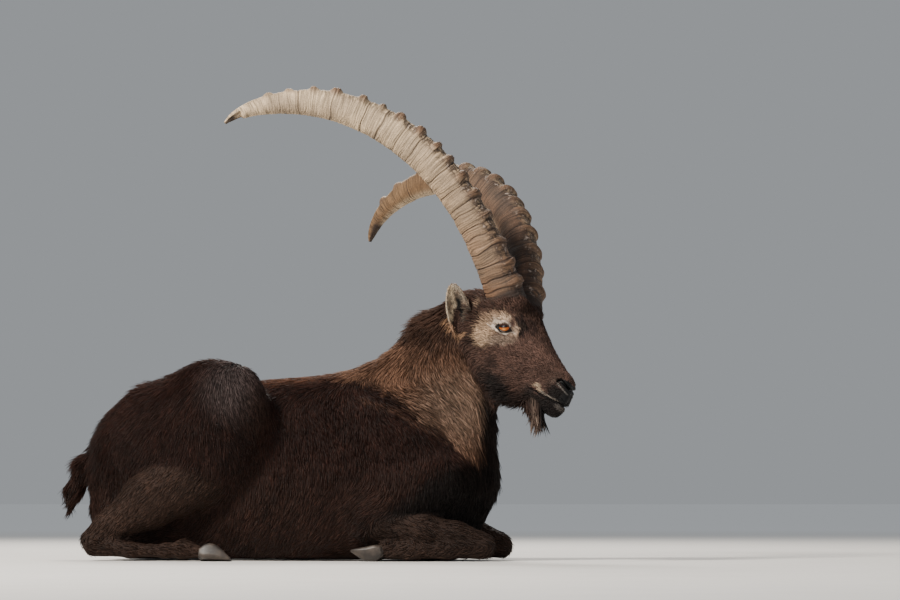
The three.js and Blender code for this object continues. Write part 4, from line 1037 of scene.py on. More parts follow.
# %% Lids, and the line of the mouth
pale_lid = smooth(9.5, 7, lid_gap + 7 * smooth(9, 18, along_lids)) * mix(0.6, 1.0, smooth(2, -3, over_eye))
tint = blend(tint, (0.60, 0.50, 0.42), pale_lid * near_eye)
lower_rim = 4.4 + 3.0 * np.exp(-((along_lids + 1) / 7.5) ** 2)
rim_width = mix(lower_rim, 1.2 + 2.0 * smooth(-10, -4, along_lids), smooth(-3, 3, over_eye))
rim_width *= smooth(-27, -17, along_lids) * smooth(21, 10, along_lids)
rim = smooth(rim_width + 0.5, rim_width - 0.5, lid_gap)
tint = blend(tint, (0.005, 0.004, 0.004), rim)
# Painted shade: a thin dark line in the fold above the upper lid.
lid_crease_shade = np.exp(-((lid_gap - 6.4) / 0.9) ** 2) * smooth(0, 4, over_eye) * smooth(-2, 6, q[:, 0] - EYE[0])
tint = blend(tint, (0.06, 0.04, 0.032), lid_crease_shade)
tint = blend(tint, (0.006, 0.005, 0.005), smooth(2.6, 1.2, lip_gap) * (q[:, 1] > 1) * head_share)

# %% Ears
beside = (np.abs(h[:, 1]) > 35) * ~ears
tint = blend(tint, (0.12, 0.098, 0.075), spot(level, (-80, 60, -46), (9, 40, 15), 0.8) * beside * 0.85)
tint = blend(tint, SOOT, smooth(5, 2.5, from_line(((-94, -24), (-86, -48)), h[:, 0], h[:, 2])) * beside)
strands = np.array([noise.noise(Vector(p / 5) + Vector((5, 2, 8))) for p in h])
for name, sign in SIDES:
    root, tip, faces = EARS[name]
    along, front, across = ear_axes(root, tip, faces)
    mine = ears & (h[:, 1] * sign > 0)
    share = (h - np.array(root)) @ along / EAR_LENGTH
    wide = (h - np.array(root)) @ across
    cup = smooth(-0.1, 0.45, (facing @ head_axes) @ front) * mine
    edge = smooth(0.7, 0.94, np.abs(wide) / ear_half(share)) * mine
    tint[mine] = mix(np.array(RUSSET), np.array(TAN), smooth(0.25, 0.9, share)[mine, None])
    # The pale hair inside the ear is its own colour; the lighter cream on one half of the cup is painted light.
    tint = blend(tint, mix(np.array(ASH), np.array((0.42, 0.33, 0.225)), smooth(-6, 6, wide * sign)[:, None]),
                 cup * (0.85 + 0.9 * fine))
    tint = blend(tint, (0.040, 0.034, 0.027), cup * smooth(-0.02, 0.3, strands) * smooth(0.95, 0.75, share) * 0.8)
    tint = blend(tint, (0.06, 0.04, 0.03), cup * smooth(0.34, 0.16, share) * 0.8)
    tint = blend(tint, (0.003, 0.003, 0.003), cup * smooth(0.2, 0.34, share) * smooth(0.8, 0.66, share)
                 * smooth(6.5, 3.5, np.abs(wide + mix(7, 3, share) * sign) + 6 * fine))
    # Painted highlight: a pale line along one rim of the ear, warmer near the root.
    tint = blend(tint, (0.37, 0.30, 0.22), edge * smooth(0.2, 0.4, share) * (wide * sign > 0) * 0.9)
    tint = blend(tint, (0.33, 0.19, 0.115), edge * smooth(0.4, 0.2, share) * (wide * sign > 0) * 0.9)

# %% Legs and beard, and the last unevenness
tint = blend(tint, (0.036, 0.020, 0.014), limb * 0.8)
pale_lock = smooth(-0.2, 0.25, strands) * smooth(13, 7, np.abs(h[:, 0] - BEARD_ROOT[0]))
locks = mix(np.array((0.060, 0.036, 0.028)), np.array((0.28, 0.205, 0.16)), pale_lock[:, None])
tint = blend(tint, locks, beard * smooth(19, 11, h[:, 0] - BEARD_ROOT[0]))
tint = blend(tint, SOOT, beard * smooth(11, 19, h[:, 0] - BEARD_ROOT[0]))
tint *= (1 + 0.35 * drift + 0.3 * fine)[:, None]
store(skin_mesh, "tint", tint)
store(skin_mesh, "leather", np.maximum(leather, rim))
print("painted", tint.min().round(4), tint.max().round(3))

# %% [markdown]
# ## Fur finish
# A hair is dark at its root and paler towards its tip, neighbours differ a little, and every tuft shows the fine
# lines of its hairs. One shader group does that for the whole coat. The skin under it is matt, and pebbled leather
# where it is bare.

# %% Shader helpers
def group(name, inputs, outputs):
    tree = bpy.data.node_groups.new(name, "ShaderNodeTree")
    for direction, sockets in (("INPUT", inputs), ("OUTPUT", outputs)):
        for label, kind in sockets:
            tree.interface.new_socket(label, in_out=direction, socket_type="NodeSocket" + kind)
    return tree, add(tree, "NodeGroupInput").outputs, add(tree, "NodeGroupOutput").inputs


def use(tree, shared, **values):
    made = add(tree, "ShaderNodeGroup", node_tree=shared)
    for name, value in values.items():
        feed(tree, made.inputs[name], value)
    return made.outputs


def attribute(tree, name, output):
    made = add(tree, "ShaderNodeAttribute", attribute_name=name)
    return made.outputs[output]


def ramp(tree, value, low, high, start=0.0, end=1.0):
    made = add(tree, "ShaderNodeMapRange")
    for socket, given in zip(made.inputs, (value, low, high, start, end)):
        feed(tree, socket, given)
    return made.outputs[0]


def cloud(tree, place, scale, detail=2.0, output="Fac"):
    made = add(tree, "ShaderNodeTexNoise")
    feed(tree, made.inputs["Vector"], place)
    feed(tree, made.inputs["Scale"], scale)
    made.inputs["Detail"].default_value = detail
    return made.outputs[output]


def vector(tree, operation, *values):
    return maths(tree, operation, *values, kind="ShaderNodeVectorMath")


def scaled(tree, place, size):
    return vector(tree, "MULTIPLY", place, size)


def times(tree, colour, value):
    made = add(tree, "ShaderNodeVectorMath", operation="SCALE")
    feed(tree, made.inputs[0], colour)
    feed(tree, made.inputs["Scale"], value)
    return made.outputs[0]


def size_of(tree, place):
    made = add(tree, "ShaderNodeVectorMath", operation="LENGTH")
    feed(tree, made.inputs[0], place)
    return made.outputs["Value"]


def blended(tree, share, first, second):
    made = add(tree, "ShaderNodeMix", data_type="RGBA")
    feed(tree, made.inputs[0], share)
    feed(tree, made.inputs[6], first)
    feed(tree, made.inputs[7], second)
    return made.outputs[2]


def raised(tree, height, strength, distance):
    made = add(tree, "ShaderNodeBump")
    made.inputs["Strength"].default_value = strength
    made.inputs["Distance"].default_value = distance
    feed(tree, made.inputs["Height"], height)
    return made.outputs[0]


def finish(name, **values):
    material = bpy.data.materials.new(name)
    material.use_nodes = True
    shader = material.node_tree.nodes["Principled BSDF"]
    for label, value in values.items():
        shader.inputs[label.replace("_", " ")].default_value = value
    return material, material.node_tree, shader.inputs


# %% The hair group
hair_tree, given, result = group("hairs", (("Colour", "Vector"), ("Root", "Vector"), ("Along", "Float"),
                                           ("Shade", "Float"), ("Patch", "Vector")),
                                 (("Colour", "Color"), ("Height", "Float")))
patchy = ramp(hair_tree, cloud(hair_tree, given["Root"], 55.0, 3.0), 0.3, 0.7, 0.76, 1.26)
single = ramp(hair_tree, given["Shade"], 0.0, 1.0, 0.62, 1.40)
lengthways = ramp(hair_tree, given["Along"], 0.0, 1.0, 0.45, 1.26)
lines_at = vector(hair_tree, "MULTIPLY_ADD", given["Patch"], (1.6, 7.0, 0), times(hair_tree, given["Root"], 300.0))
lines = cloud(hair_tree, lines_at, 1.0, 1.0)
hairline = ramp(hair_tree, lines, 0.35, 0.65, 0.7, 1.25)
strength = maths(hair_tree, "MULTIPLY", maths(hair_tree, "MULTIPLY", patchy, single),
                 maths(hair_tree, "MULTIPLY", lengthways, hairline))
feed(hair_tree, result["Colour"], times(hair_tree, given["Colour"], strength))
feed(hair_tree, result["Height"], lines)

# %% Coat and skin materials
coat_finish, tree, shader = finish("coat fur", Roughness=0.6, Specular_IOR_Level=0.07, Sheen_Weight=0.03,
                                   Sheen_Roughness=0.45)
hairs = use(tree, hair_tree, Colour=attribute(tree, "tint", "Vector"), Root=attribute(tree, "root", "Vector"),
            Along=attribute(tree, "along", "Fac"), Shade=attribute(tree, "shade", "Fac"),
            Patch=attribute(tree, "patch", "Vector"))
feed(tree, shader["Base Color"], hairs["Colour"])
feed(tree, shader["Normal"], raised(tree, hairs["Height"], 0.35, 0.0006))

skin_finish, tree, shader = finish("skin", Specular_IOR_Level=0.18)
place = add(tree, "ShaderNodeTexCoord").outputs["Object"]
covered = ramp(tree, attribute(tree, "hair", "Fac"), 0.006, 0.03, 0.9, 0.4)
down = cloud(tree, place, 420.0, 2.0)
speckle = ramp(tree, down, 0.3, 0.7, 0.65, 1.3)
bare_skin = attribute(tree, "leather", "Fac")
tone = times(tree, attribute(tree, "tint", "Vector"), maths(tree, "MULTIPLY", covered, speckle))
pebbles = add(tree, "ShaderNodeTexVoronoi")
feed(tree, pebbles.inputs["Vector"], place)
pebbles.inputs["Scale"].default_value = 520.0
feed(tree, shader["Base Color"], tone)
feed(tree, shader["Roughness"], ramp(tree, bare_skin, 0.0, 1.0, 0.8, 0.48))
pebbled = maths(tree, "MULTIPLY", pebbles.outputs[0], bare_skin)
relief = maths(tree, "ADD", maths(tree, "MULTIPLY", down, 0.8), pebbled)
feed(tree, shader["Normal"], raised(tree, relief, 0.5, 0.0008))
skin_mesh.materials.clear()
skin_mesh.materials.append(skin_finish)

# %% [markdown]
# ## The layers of the coat
# The finest tufts lie on the face and ears, and the longest hang from the chin. Each layer is one run of the tree,
# split into parts so that no piece passes two hundred thousand triangles, and then made a plain mesh.

# %% Grow every layer
KEPT = {"position", "root", "shade", "along", "patch", "tint", "OFBake", "material_index", "sharp_face", "sharp_edge"}
OWN_PIECES = ("horn", "eye", "fore_hoof", "hind_hoof", "beard")
flesh_nodes = [name for name in frame["nodes"] if not name.startswith(OWN_PIECES)]
INPUTS = {item.name: item.identifier for item in COAT_TREE.interface.items_tree if item.in_out == "INPUT"}
TIPS_ABOVE_FLOOR = 0.6


def grow(name, cover, spacing, width, tufts, parts=1, ruffle=0.16, seed=1):
    for part in range(parts):
        carrier = new_object(skin_mesh)
        growth = carrier.modifiers.new("coat", "NODES")
        growth.node_group = COAT_TREE
        for label, value in (("Tufts", tufts), ("Cover", cover), ("Spacing", spacing), ("Width", width),
                             ("Ruffle", ruffle), ("Parts", parts), ("Part", part), ("Seed", seed),
                             ("Finish", coat_finish)):
            growth[INPUTS[label]] = value
        depsgraph = bpy.context.evaluated_depsgraph_get()
        mesh = bpy.data.meshes.new_from_object(carrier.evaluated_get(depsgraph))
        bpy.data.objects.remove(carrier)
        for spare in [a.name for a in mesh.attributes if a.name not in KEPT and not a.name.startswith(".")]:
            mesh.attributes.remove(mesh.attributes[spare])
        tips = places(mesh)
        tips[:, 2] = np.maximum(tips[:, 2], TIPS_ABOVE_FLOOR)
        move_to(mesh, tips)
        mesh.name = f"{name}_{part}" if parts > 1 else name
        piece = new_object(mesh)
        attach(piece, "root")
        per_tuft = len(tufts.objects[0].data.vertices)
        triangles = sum(len(face.vertices) - 2 for face in mesh.polygons)
        print(piece.name, len(mesh.vertices) // per_tuft, "tufts", triangles, "triangles")


grow("coat_body", "cover_body", 0.0029, 0.0026, short_tufts, parts=6, ruffle=0.11)
grow("coat_neck", "cover_neck", 0.0027, 0.0024, short_tufts, parts=2, ruffle=0.12, seed=2)
grow("coat_guard", "cover_guard", 0.0095, 0.0029, long_tufts, ruffle=0.17, seed=3)
grow("coat_nape", "cover_nape", 0.0042, 0.0034, long_tufts, ruffle=0.15, seed=4)
grow("coat_face", "cover_face", 0.0021, 0.0017, short_tufts, parts=2, ruffle=0.14, seed=5)
grow("coat_ears", "cover_ears", 0.0022, 0.0015, short_tufts, ruffle=0.1, seed=6)
grow("coat_beard", "cover_beard", 0.0019, 0.0052, beard_locks, ruffle=0.045, seed=8)
grow("coat_legs", "cover_legs", 0.0034, 0.0028, short_tufts, seed=7)

# %% [markdown]
# ## Horns
# Each horn is a loft along a curve that leans back and outwards. Bold knobs cross its front face, and finer rings of
# growth run all the way round. The two horns differ a little in length, sweep and knobs, as on the animal. A bevelled
# curve gives the sweep but no knobs, so the rings of points are worked out here.

# %% Loft the horns
HORNS = {"right": (804, (16.2, 41.9, 77.9), (26.5, -4, 6.9)), "left": (828, (12.6, 49.3, 87.3), (20.3, -6.8, 5.9))}
HORN_APART, HORN_ROOT = 43, 22
HORN_SIZES = np.array(((-0.05, 84, 64), (0, 84, 64), (0.12, 79, 61), (0.25, 75, 57), (0.5, 75, 52),
                       (0.68, 66, 46), (0.82, 51, 37), (0.92, 34, 26), (0.975, 20, 16), (1, 7, 6)), float)
BARS = {"right": (0.03, 0.08, 0.135, 0.21, 0.27, 0.323, 0.375, 0.419, 0.474, 0.534, 0.583, 0.635, 0.703, 0.758,
                  0.818, 0.87),
        "left": (0.045, 0.118, 0.178, 0.243, 0.31, 0.36, 0.412, 0.472, 0.529, 0.589, 0.66, 0.74, 0.826, 0.885)}
GROOVES = (0.018, 0.045, 0.085, 0.125, 0.165, 0.192, 0.235, 0.255, 0.3, 0.357, 0.45, 0.5, 0.56, 0.61, 0.7, 0.79)
TIP_DROOP = 150
KNOB_HEIGHT, RIPPLE_STEP = 7.4, 5.6


def horn_track(name, sign, steps=400):
    length, lean, spread = HORNS[name]

    def heading(s):
        s = max(s, 0)
        back = math.radians(lean[0] + lean[1] * s + lean[2] * s * s + TIP_DROOP * max(s - 0.9, 0))
        out = math.radians(spread[0] + spread[1] * s + spread[2] * s * s)
        return np.array((-math.sin(back) * math.cos(out), sign * math.sin(out), math.cos(back) * math.cos(out)))
    start = -HORN_ROOT / length
    place = np.array((0.0, HORN_APART * sign, 0.0)) + heading(0) * start * length
    places_along, ways = [], []
    for i in range(steps + 1):
        s = mix(start, 1, i / steps)
        places_along.append(place.copy())
        ways.append(heading(s))
        place += heading(s) * (1 - start) * length / steps
    return length, np.linspace(start, 1, steps + 1), np.array(places_along), np.array(ways)


def horn_mesh(name, sign, stops=740, sides=44):
    length, track_s, track, ways = horn_track(name, sign)
    at = np.linspace(track_s[0], 1, stops)
    hub = np.stack([np.interp(at, track_s, track[:, i]) for i in range(3)], 1)
    along = unit(np.stack([np.interp(at, track_s, ways[:, i]) for i in range(3)], 1))
    outward = unit(np.array((0, sign, 0)) - sign * along[:, 1:2] * along)
    front = unit(np.cross(outward, along) * sign)
    turn = (np.arange(sides) + 0.5) / sides * 2 * math.pi
    c, d = np.cos(turn)[None, :], np.sin(turn)[None, :]
    s = at[:, None] + 0 * c
    round_places = [(math.cos(t) * 1.3, math.sin(t) * 1.3 + 5 * sign) for t in turn]
    wobble = np.array([[noise.noise(Vector((u * 55, *place))) for place in round_places] for u in at])
    s_wavy = s + mix(0.0042, 0.0065, smooth(0.5, 0.2, s)) * wobble
    depth, width = between(HORN_SIZES, 1, s) / 2, between(HORN_SIZES, 2, s) / 2
    if name == "left":
        blunt = np.sqrt(np.clip((1 - s) / 0.014, 0, 1))
        depth = np.where(s > 0.95, np.maximum(depth, 7.5 * blunt), depth)
        width = np.maximum(width, 6.5 * blunt)
    knob, ring, groove = np.zeros_like(s), np.zeros_like(s), np.zeros_like(s)
    for i, bar in enumerate(BARS[name]):
        size = 0.8 + 0.4 * abs(math.sin(i * 2.3 + sign))
        knob += size * np.exp(-(np.abs(s_wavy - bar) / (0.0112 + 0.002 * math.sin(i * 1.7))) ** 4)
        ring += np.exp(-((s_wavy - bar) / 0.008) ** 2)
    for line in GROOVES:
        groove += np.exp(-((s_wavy - line + 0.004 * sign) / 0.0016) ** 2)
    fade = np.minimum(1, (1.03 - s) * (4 if name == "right" else 7))
    base = smooth(0.42, 0.1, s)
    lift = KNOB_HEIGHT * knob * fade * smooth(0.25, 0.9, c) * mix(1, 0.7, base)
    lift += (0.6 + 0.5 * base) * ring * fade * smooth(-1, 0.2, c) - (1.2 + 1.2 * base) * groove * smooth(1, 0.95, s)
    lift += 0.5 * np.sin(s_wavy * length / RIPPLE_STEP * 2 * math.pi + 5 * wobble) * fade + 1.0 * wobble * fade
    square_c, square_d = np.sign(c) * np.abs(c) ** 0.8, np.sign(d) * np.abs(d) ** 0.8
    ahead = np.where(c > 0, square_c * depth * 0.88, square_c * depth * 1.03)
    aside = square_d * width * np.where(c > 0, 1, 1 - 0.3 * c * c)
    if name == "right":
        worn = smooth(0.949, 0.953, s) * smooth(-0.05, -0.5, c) * smooth(1.0, 0.985, s)
        ahead += worn * depth * 0.55
        aside *= 1 - 0.25 * worn
    ahead, aside = ahead + lift * c, aside + lift * d * 0.7
    points = hub[:, None] + front[:, None] * ahead[..., None] + outward[:, None] * (aside * sign)[..., None]
    points = HORN_ROOTS + points.reshape(-1, 3) @ head_axes.T
    mesh = mesh_of("horn_" + name + "_carved", points, tube_faces(stops, sides))
    around = turn[None, :] * 30 + 0 * s
    growth = np.stack([s_wavy * length / 1000, around / 1000, c + 0 * s], -1).reshape(-1, 3)
    store(mesh, "growth", growth)
    store(mesh, "knob", (knob * smooth(0.3, 0.8, c) * fade).ravel())
    store(mesh, "groove", np.clip(groove, 0, 1).ravel())
    store(mesh, "inner", (smooth(0.1, 0.9, -d * sign) * np.ones_like(s)).ravel())
    outwards(mesh)
    return mesh


# %% [markdown]
# Horn is dull and dirty: greyish cream where weather has bleached it, brown near the head, dark in every groove, with
# fine ripples across it. The growth attribute runs along and round the horn, so the ripples bend with it.

# %% Horn material
horn_finish, tree, shader = finish("horn", Roughness=0.7, Specular_IOR_Level=0.3)
growth = attribute(tree, "growth", "Vector")
parts = add(tree, "ShaderNodeSeparateXYZ")
feed(tree, parts.inputs[0], growth)
length_along, front_side = parts.outputs[0], parts.outputs[2]
object_place = add(tree, "ShaderNodeTexCoord").outputs["Object"]
ripples = cloud(tree, scaled(tree, growth, (260.0, 16.0, 0)), 1.0, 3.0)
streaks = cloud(tree, scaled(tree, growth, (850.0, 40.0, 0)), 1.0, 2.0)
stain = cloud(tree, object_place, 16.0, 4.0)
grain = cloud(tree, object_place, 320.0, 3.0)
blotches = ramp(tree, stain, 0.38, 0.62)
bleached = blended(tree, blotches, (0.63, 0.475, 0.305, 1), (0.40, 0.30, 0.20, 1))
earthy = blended(tree, blotches, (0.198, 0.108, 0.061, 1), (0.110, 0.062, 0.037, 1))
age = maths(tree, "ADD", length_along, maths(tree, "MULTIPLY", maths(tree, "SUBTRACT", stain, 0.5), 0.25))
body = blended(tree, ramp(tree, age, 0.02, 0.42), earthy, bleached)
ruddy_horn = blended(tree, ramp(tree, stain, 0.4, 0.6), (0.085, 0.042, 0.026, 1), (0.030, 0.016, 0.012, 1))
inner_horn = blended(tree, ramp(tree, length_along, 0.4, 0.62), ruddy_horn, (0.135, 0.068, 0.026, 1))
inner_side = attribute(tree, "inner", "Fac")
body = blended(tree, maths(tree, "MULTIPLY", inner_side, 0.9), body, inner_horn)
flecks = cloud(tree, object_place, 95.0, 2.0)
ridge = maths(tree, "MULTIPLY", ramp(tree, front_side, 0.25, 0.6), ramp(tree, length_along, 0.6, 0.4, 0.15, 0.8))
fleck_horn = blended(tree, ramp(tree, flecks, 0.6, 0.66), (0.055, 0.036, 0.027, 1), (0.34, 0.27, 0.225, 1))
body = blended(tree, maths(tree, "MULTIPLY", ridge, ramp(tree, flecks, 0.42, 0.5)), body, fleck_horn)
# Painted shadow: the inner faces are darkened to near black between the horns, near their roots.
gap = maths(tree, "MULTIPLY", inner_side, ramp(tree, front_side, 0.25, -0.1))
gap = maths(tree, "MULTIPLY", gap, ramp(tree, length_along, 0.2, 0.1, 0.0, 0.96))
body = blended(tree, gap, body, (0.006, 0.005, 0.005, 1))
knobs = maths(tree, "MULTIPLY", attribute(tree, "knob", "Fac"), 0.8)
body = blended(tree, knobs, body, (0.15, 0.085, 0.05, 1))
lined = maths(tree, "MULTIPLY", ramp(tree, ripples, 0.36, 0.6, 0.5, 1.15), ramp(tree, streaks, 0.3, 0.7, 0.78, 1.15))
body = times(tree, body, maths(tree, "MULTIPLY", lined, ramp(tree, grain, 0.3, 0.7, 0.82, 1.12)))
body = blended(tree, maths(tree, "MULTIPLY", attribute(tree, "groove", "Fac"), 0.9), body, (0.026, 0.015, 0.011, 1))
body = blended(tree, ramp(tree, length_along, 0.0095, 0.0055, 0.0, 0.9), body, (0.022, 0.014, 0.011, 1))
# Painted shadow: the back of each horn tip, under the worn notch, is darkened.
tip_notch_shadow = maths(tree, "MULTIPLY", ramp(tree, length_along, 0.762, 0.785), ramp(tree, front_side, 0.1, -0.35))
body = blended(tree, maths(tree, "MULTIPLY", tip_notch_shadow, 0.93), body, (0.022, 0.014, 0.011, 1))
feed(tree, shader["Base Color"], body)
height = maths(tree, "ADD", maths(tree, "MULTIPLY", ripples, 0.7), maths(tree, "MULTIPLY", streaks, 0.35))
feed(tree, shader["Normal"], raised(tree, height, 0.9, 0.0022))

# %% Make both horns
for name, sign in SIDES:
    horn = new_object(horn_mesh(name, sign))
    horn.data.materials.append(horn_finish)
    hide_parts("horn_" + name)
    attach(horn, "root")
    print(horn.name, len(horn.data.polygons), "faces")

# %% [markdown]
# ## Eyes
# Goats have amber eyes with a level, slot-shaped pupil. The ball is rings round its own line of sight, the clear
# front bulges slightly, and an attribute gives each point its place on the iris.

# %% Eyes
def eye_mesh(name, sign, rings=40, spokes=64):
    centre = EYE * (1, sign, 1)
    clear_front = 0.9
    sight_line = unit((0.02, sign, 0.05))
    level = unit(np.cross(np.cross(sight_line, (math.cos(FACE_PITCH), 0, math.sin(FACE_PITCH))), sight_line))
    upright = np.cross(sight_line, level)
    points, iris = [centre + sight_line * (EYE_RADIUS + clear_front)], [(0, 0, 0)]
    for r in range(1, rings):
        polar = math.pi * (r / rings) ** 1.25
        radius = EYE_RADIUS + clear_front * math.exp(-(polar / 0.55) ** 4)
        for i in range(spokes):
            turn = i / spokes * 2 * math.pi
            u, v = math.cos(turn), math.sin(turn)
            points.append(centre + radius * (math.cos(polar) * sight_line
                                             + math.sin(polar) * (u * level + v * upright)))
            iris.append((polar * u, polar * v, polar))
    points.append(centre - sight_line * EYE_RADIUS)
    iris.append((3.1, 0, 3.1))
    faces = [(0, 1 + i, 1 + (i + 1) % spokes) for i in range(spokes)]
    for r in range(rings - 2):
        a, b = 1 + r * spokes, 1 + (r + 1) * spokes
        faces += [(a + i, b + i, b + (i + 1) % spokes, a + (i + 1) % spokes) for i in range(spokes)]
    last = 1 + (rings - 2) * spokes
    faces += [(last + i, len(points) - 1, last + (i + 1) % spokes) for i in range(spokes)]
    mesh = mesh_of("eye_" + name + "_ball", HORN_ROOTS + np.array(points) @ face_axes.T, faces)
    store(mesh, "iris", np.array(iris, float))
    outwards(mesh)
    return mesh


# %% Eye finish
eye_finish, tree, shader = finish("eye", Roughness=0.4, Specular_IOR_Level=0.1, Coat_Weight=0.02, Coat_Roughness=0.12)
iris = attribute(tree, "iris", "Vector")
axes = add(tree, "ShaderNodeSeparateXYZ")
feed(tree, axes.inputs[0], iris)
streaky = cloud(tree, vector(tree, "NORMALIZE", iris), 9.0, 4.0)
amber = blended(tree, ramp(tree, streaky, 0.35, 0.65), (0.26, 0.062, 0.008, 1), (0.36, 0.105, 0.016, 1))
amber = blended(tree, ramp(tree, axes.outputs[2], 0.35, 0.75, 0.0, 0.9), amber, (0.16, 0.032, 0.007, 1))
# Painted shadow: the top of the iris is darkened, as if shaded by the upper lid.
amber = blended(tree, ramp(tree, axes.outputs[1], -0.02, 0.08, 0.0, 0.95), amber, (0.012, 0.005, 0.004, 1))
slot = maths(tree, "POWER", maths(tree, "ABSOLUTE", maths(tree, "DIVIDE", axes.outputs[0], 0.45)), 3.0)
slot_high = maths(tree, "DIVIDE", maths(tree, "SUBTRACT", axes.outputs[1], 0.06), 0.15)
slot_high = maths(tree, "POWER", maths(tree, "ABSOLUTE", slot_high), 3.0)
pupil = ramp(tree, maths(tree, "ADD", slot, slot_high), 1.25, 0.8)
amber = blended(tree, pupil, amber, (0.003, 0.003, 0.004, 1))
# Painted highlight: a pale yellow spot low in the iris, where light falls through the clear front.
lit_iris_spot = vector(tree, "MULTIPLY_ADD", iris, (4.5, 11.0, 0), (-0.3, 2.9, 0))
lit_iris_spot = ramp(tree, size_of(tree, lit_iris_spot), 1.3, 0.2, 0.0, 0.65)
amber = blended(tree, lit_iris_spot, amber, (0.55, 0.33, 0.11, 1))
oval = vector(tree, "MULTIPLY", iris, (1 / 0.68, 1 / 0.47, 0))
limbus = ramp(tree, size_of(tree, oval), 0.92, 1.06)
feed(tree, shader["Base Color"], blended(tree, limbus, amber, (0.012, 0.008, 0.007, 1)))

# %% Make both eyes
for name, sign in SIDES:
    eye = new_object(eye_mesh(name, sign))
    eye.data.materials.append(eye_finish)
    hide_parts("eye_" + name)
    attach(eye, "root")
    print(eye.name, len(eye.data.polygons), "faces")

# %% [markdown]
# ## Hooves
# Two claws side by side and a soft heel behind them. Each claw is a loft through a few stations, with a flat sole and
# a rounded back, and the fine level growth lines of a hoof are in its bump.

# %% Hooves
CLAW = np.array(((-4, 6, 22, 8), (8, 0, 32, 11.5), (26, 0, 33, 12), (44, 0, 22, 10.5), (57, 0, 10, 7),
                 (63, 1, 5, 2.5)), float)
CLAWS_APART = 12.5
HEEL_PLACE, HEEL_SIZE = (0.003, 0, 0.016), (0.013, 0.017, 0.014, 1)


def hoof_mesh(name, place, turn, stops=26, sides=24):
    points, faces = [], []
    for offset in (-CLAWS_APART, CLAWS_APART):
        start = len(points)
        for x in np.linspace(CLAW[0, 0], CLAW[-1, 0], stops):
            low, high, wide = (float(between(CLAW, column, np.array([x]))[0]) for column in (1, 2, 3))
            for i in range(sides):
                angle = i / sides * 2 * math.pi
                c, s = math.cos(angle), math.sin(angle)
                y = math.copysign(abs(c) ** 0.75, c) * wide * (1.05 if s < 0 else 0.86)
                tall = 0.5 + 0.5 * math.copysign(abs(s) ** (0.45 if s < 0 else 0.8), s)
                points.append((x, offset + y, mix(low, high, tall)))
        faces += tube_faces(stops, sides, start)
    spin = turned(*turn)
    points = np.array(points) @ spin.T + np.array(place)
    points[:, 2] = np.maximum(points[:, 2], 0.2)
    mesh = mesh_of(name, points, faces)
    bm = bmesh.new()
    bm.from_mesh(mesh)
    foot = Matrix.Translation(Vector(place) / 1000) @ Matrix(spin.tolist()).to_4x4()
    heel = foot @ Matrix.Translation(HEEL_PLACE)
    bmesh.ops.create_uvsphere(bm, u_segments=24, v_segments=14, radius=1, matrix=heel @ Matrix.Diagonal(HEEL_SIZE))
    bmesh.ops.recalc_face_normals(bm, faces=bm.faces)
    for face in bm.faces:
        face.smooth = True
    bm.to_mesh(mesh)
    bm.free()
    return mesh


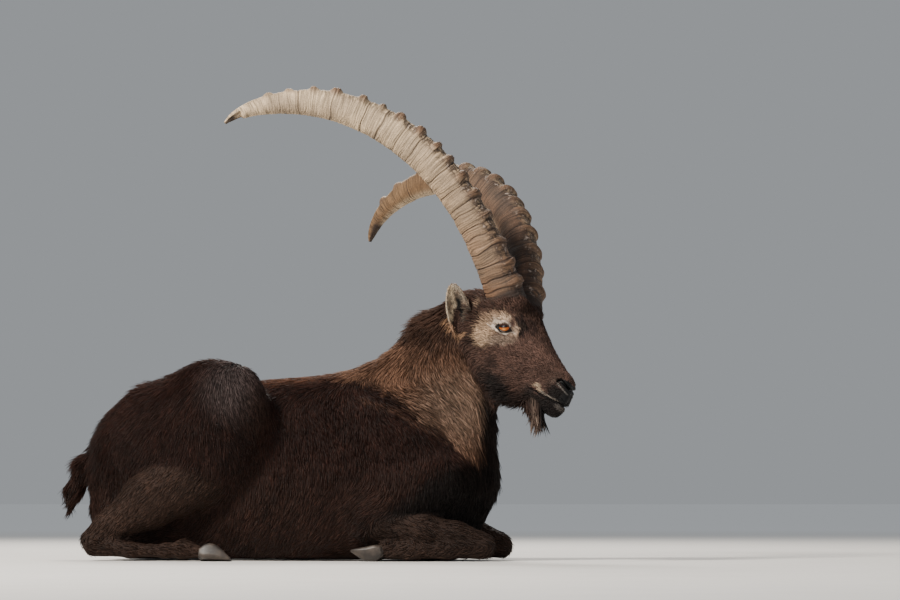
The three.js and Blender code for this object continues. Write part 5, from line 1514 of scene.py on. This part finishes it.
# %% Hoof finish, and the four hooves
hoof_finish, tree, shader = finish("hoof", Roughness=0.5)
place = add(tree, "ShaderNodeTexCoord").outputs["Object"]
layers = cloud(tree, scaled(tree, place, (40.0, 40.0, 520.0)), 1.0, 2.0)
wear = cloud(tree, place, 60.0, 4.0)
worn_horn = blended(tree, ramp(tree, wear, 0.4, 0.7), (0.022, 0.017, 0.014, 1), (0.070, 0.052, 0.040, 1))
feed(tree, shader["Base Color"], worn_horn)
feed(tree, shader["Normal"], raised(tree, maths(tree, "ADD", layers, wear), 0.5, 0.001))
for name, sign in SIDES:
    for kind, place, turn in (("fore", (-112, 158 * sign, 36), (math.pi, 0.18, (1 - sign * 0.03) * math.pi)),
                              ("hind", (-480, 214 * sign, 1), (0.35 * sign, 0, -0.12 * sign))):
        hoof = new_object(hoof_mesh(f"{kind}_hoof_{name}_claws", place, turn))
        hoof.data.materials.append(hoof_finish)
        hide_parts(f"{kind}_hoof_{name}")
        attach(hoof, "root")
        print(hoof.name, len(hoof.data.polygons), "faces")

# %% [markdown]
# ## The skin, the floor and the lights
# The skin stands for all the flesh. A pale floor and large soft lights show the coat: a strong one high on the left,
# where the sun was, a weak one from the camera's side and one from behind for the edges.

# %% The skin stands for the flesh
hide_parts(*flesh_nodes)
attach(skin, "root")
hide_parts("beard")

# %% Pale floor
floor_mesh = bpy.data.meshes.new("floor")
floor_mesh.from_pydata([(-400, -400, 0), (400, -400, 0), (400, 400, 0), (-400, 400, 0)], [], [(0, 1, 2, 3)])
floor = new_object(floor_mesh)
STUDIO_GREY, STUDIO_STRENGTH = (0.74, 0.78, 0.82, 1), 0.42
floor_finish, tree, shader = finish("pale floor", Roughness=0.9, Emission_Strength=STUDIO_STRENGTH)
place = add(tree, "ShaderNodeTexCoord").outputs["Object"]
dust = cloud(tree, place, 6.0, 4.0)
faded = ramp(tree, size_of(tree, place), 2.0, 9.0)
pale = blended(tree, dust, (0.60, 0.58, 0.55, 1), (0.68, 0.66, 0.63, 1))
feed(tree, shader["Base Color"], blended(tree, faded, pale, (0, 0, 0, 1)))
feed(tree, shader["Emission Color"], blended(tree, faded, (0, 0, 0, 1), STUDIO_GREY))
floor_mesh.materials.append(floor_finish)


# %% Soft lights
def softbox(name, place, aim, size, watts, colour=(1, 1, 1)):
    data = bpy.data.lights.new(name, "AREA")
    data.shape, data.size, data.energy, data.color = "DISK", size, watts, colour
    lamp = bpy.data.objects.new(name, data)
    lamp.location = place
    lamp.rotation_euler = (Vector(aim) - Vector(place)).to_track_quat("-Z", "Y").to_euler()
    bpy.context.scene.collection.objects.link(lamp)


CENTRE = (-0.15, 0, 0.4)
softbox("key", (-2.6, -3.4, 3.9), CENTRE, 1.2, 540, (1.0, 0.94, 0.86))
softbox("fill", (2.8, -4.5, 1.8), CENTRE, 3.0, 50, (0.98, 0.98, 1.0))
softbox("edge", (-1.5, 3.4, 3.2), CENTRE, 1.8, 230, (1.0, 0.94, 0.87))
world = bpy.data.worlds.new("studio")
world.use_nodes = True
world.node_tree.nodes["Background"].inputs["Color"].default_value = STUDIO_GREY
world.node_tree.nodes["Background"].inputs["Strength"].default_value = STUDIO_STRENGTH
bpy.context.scene.world = world
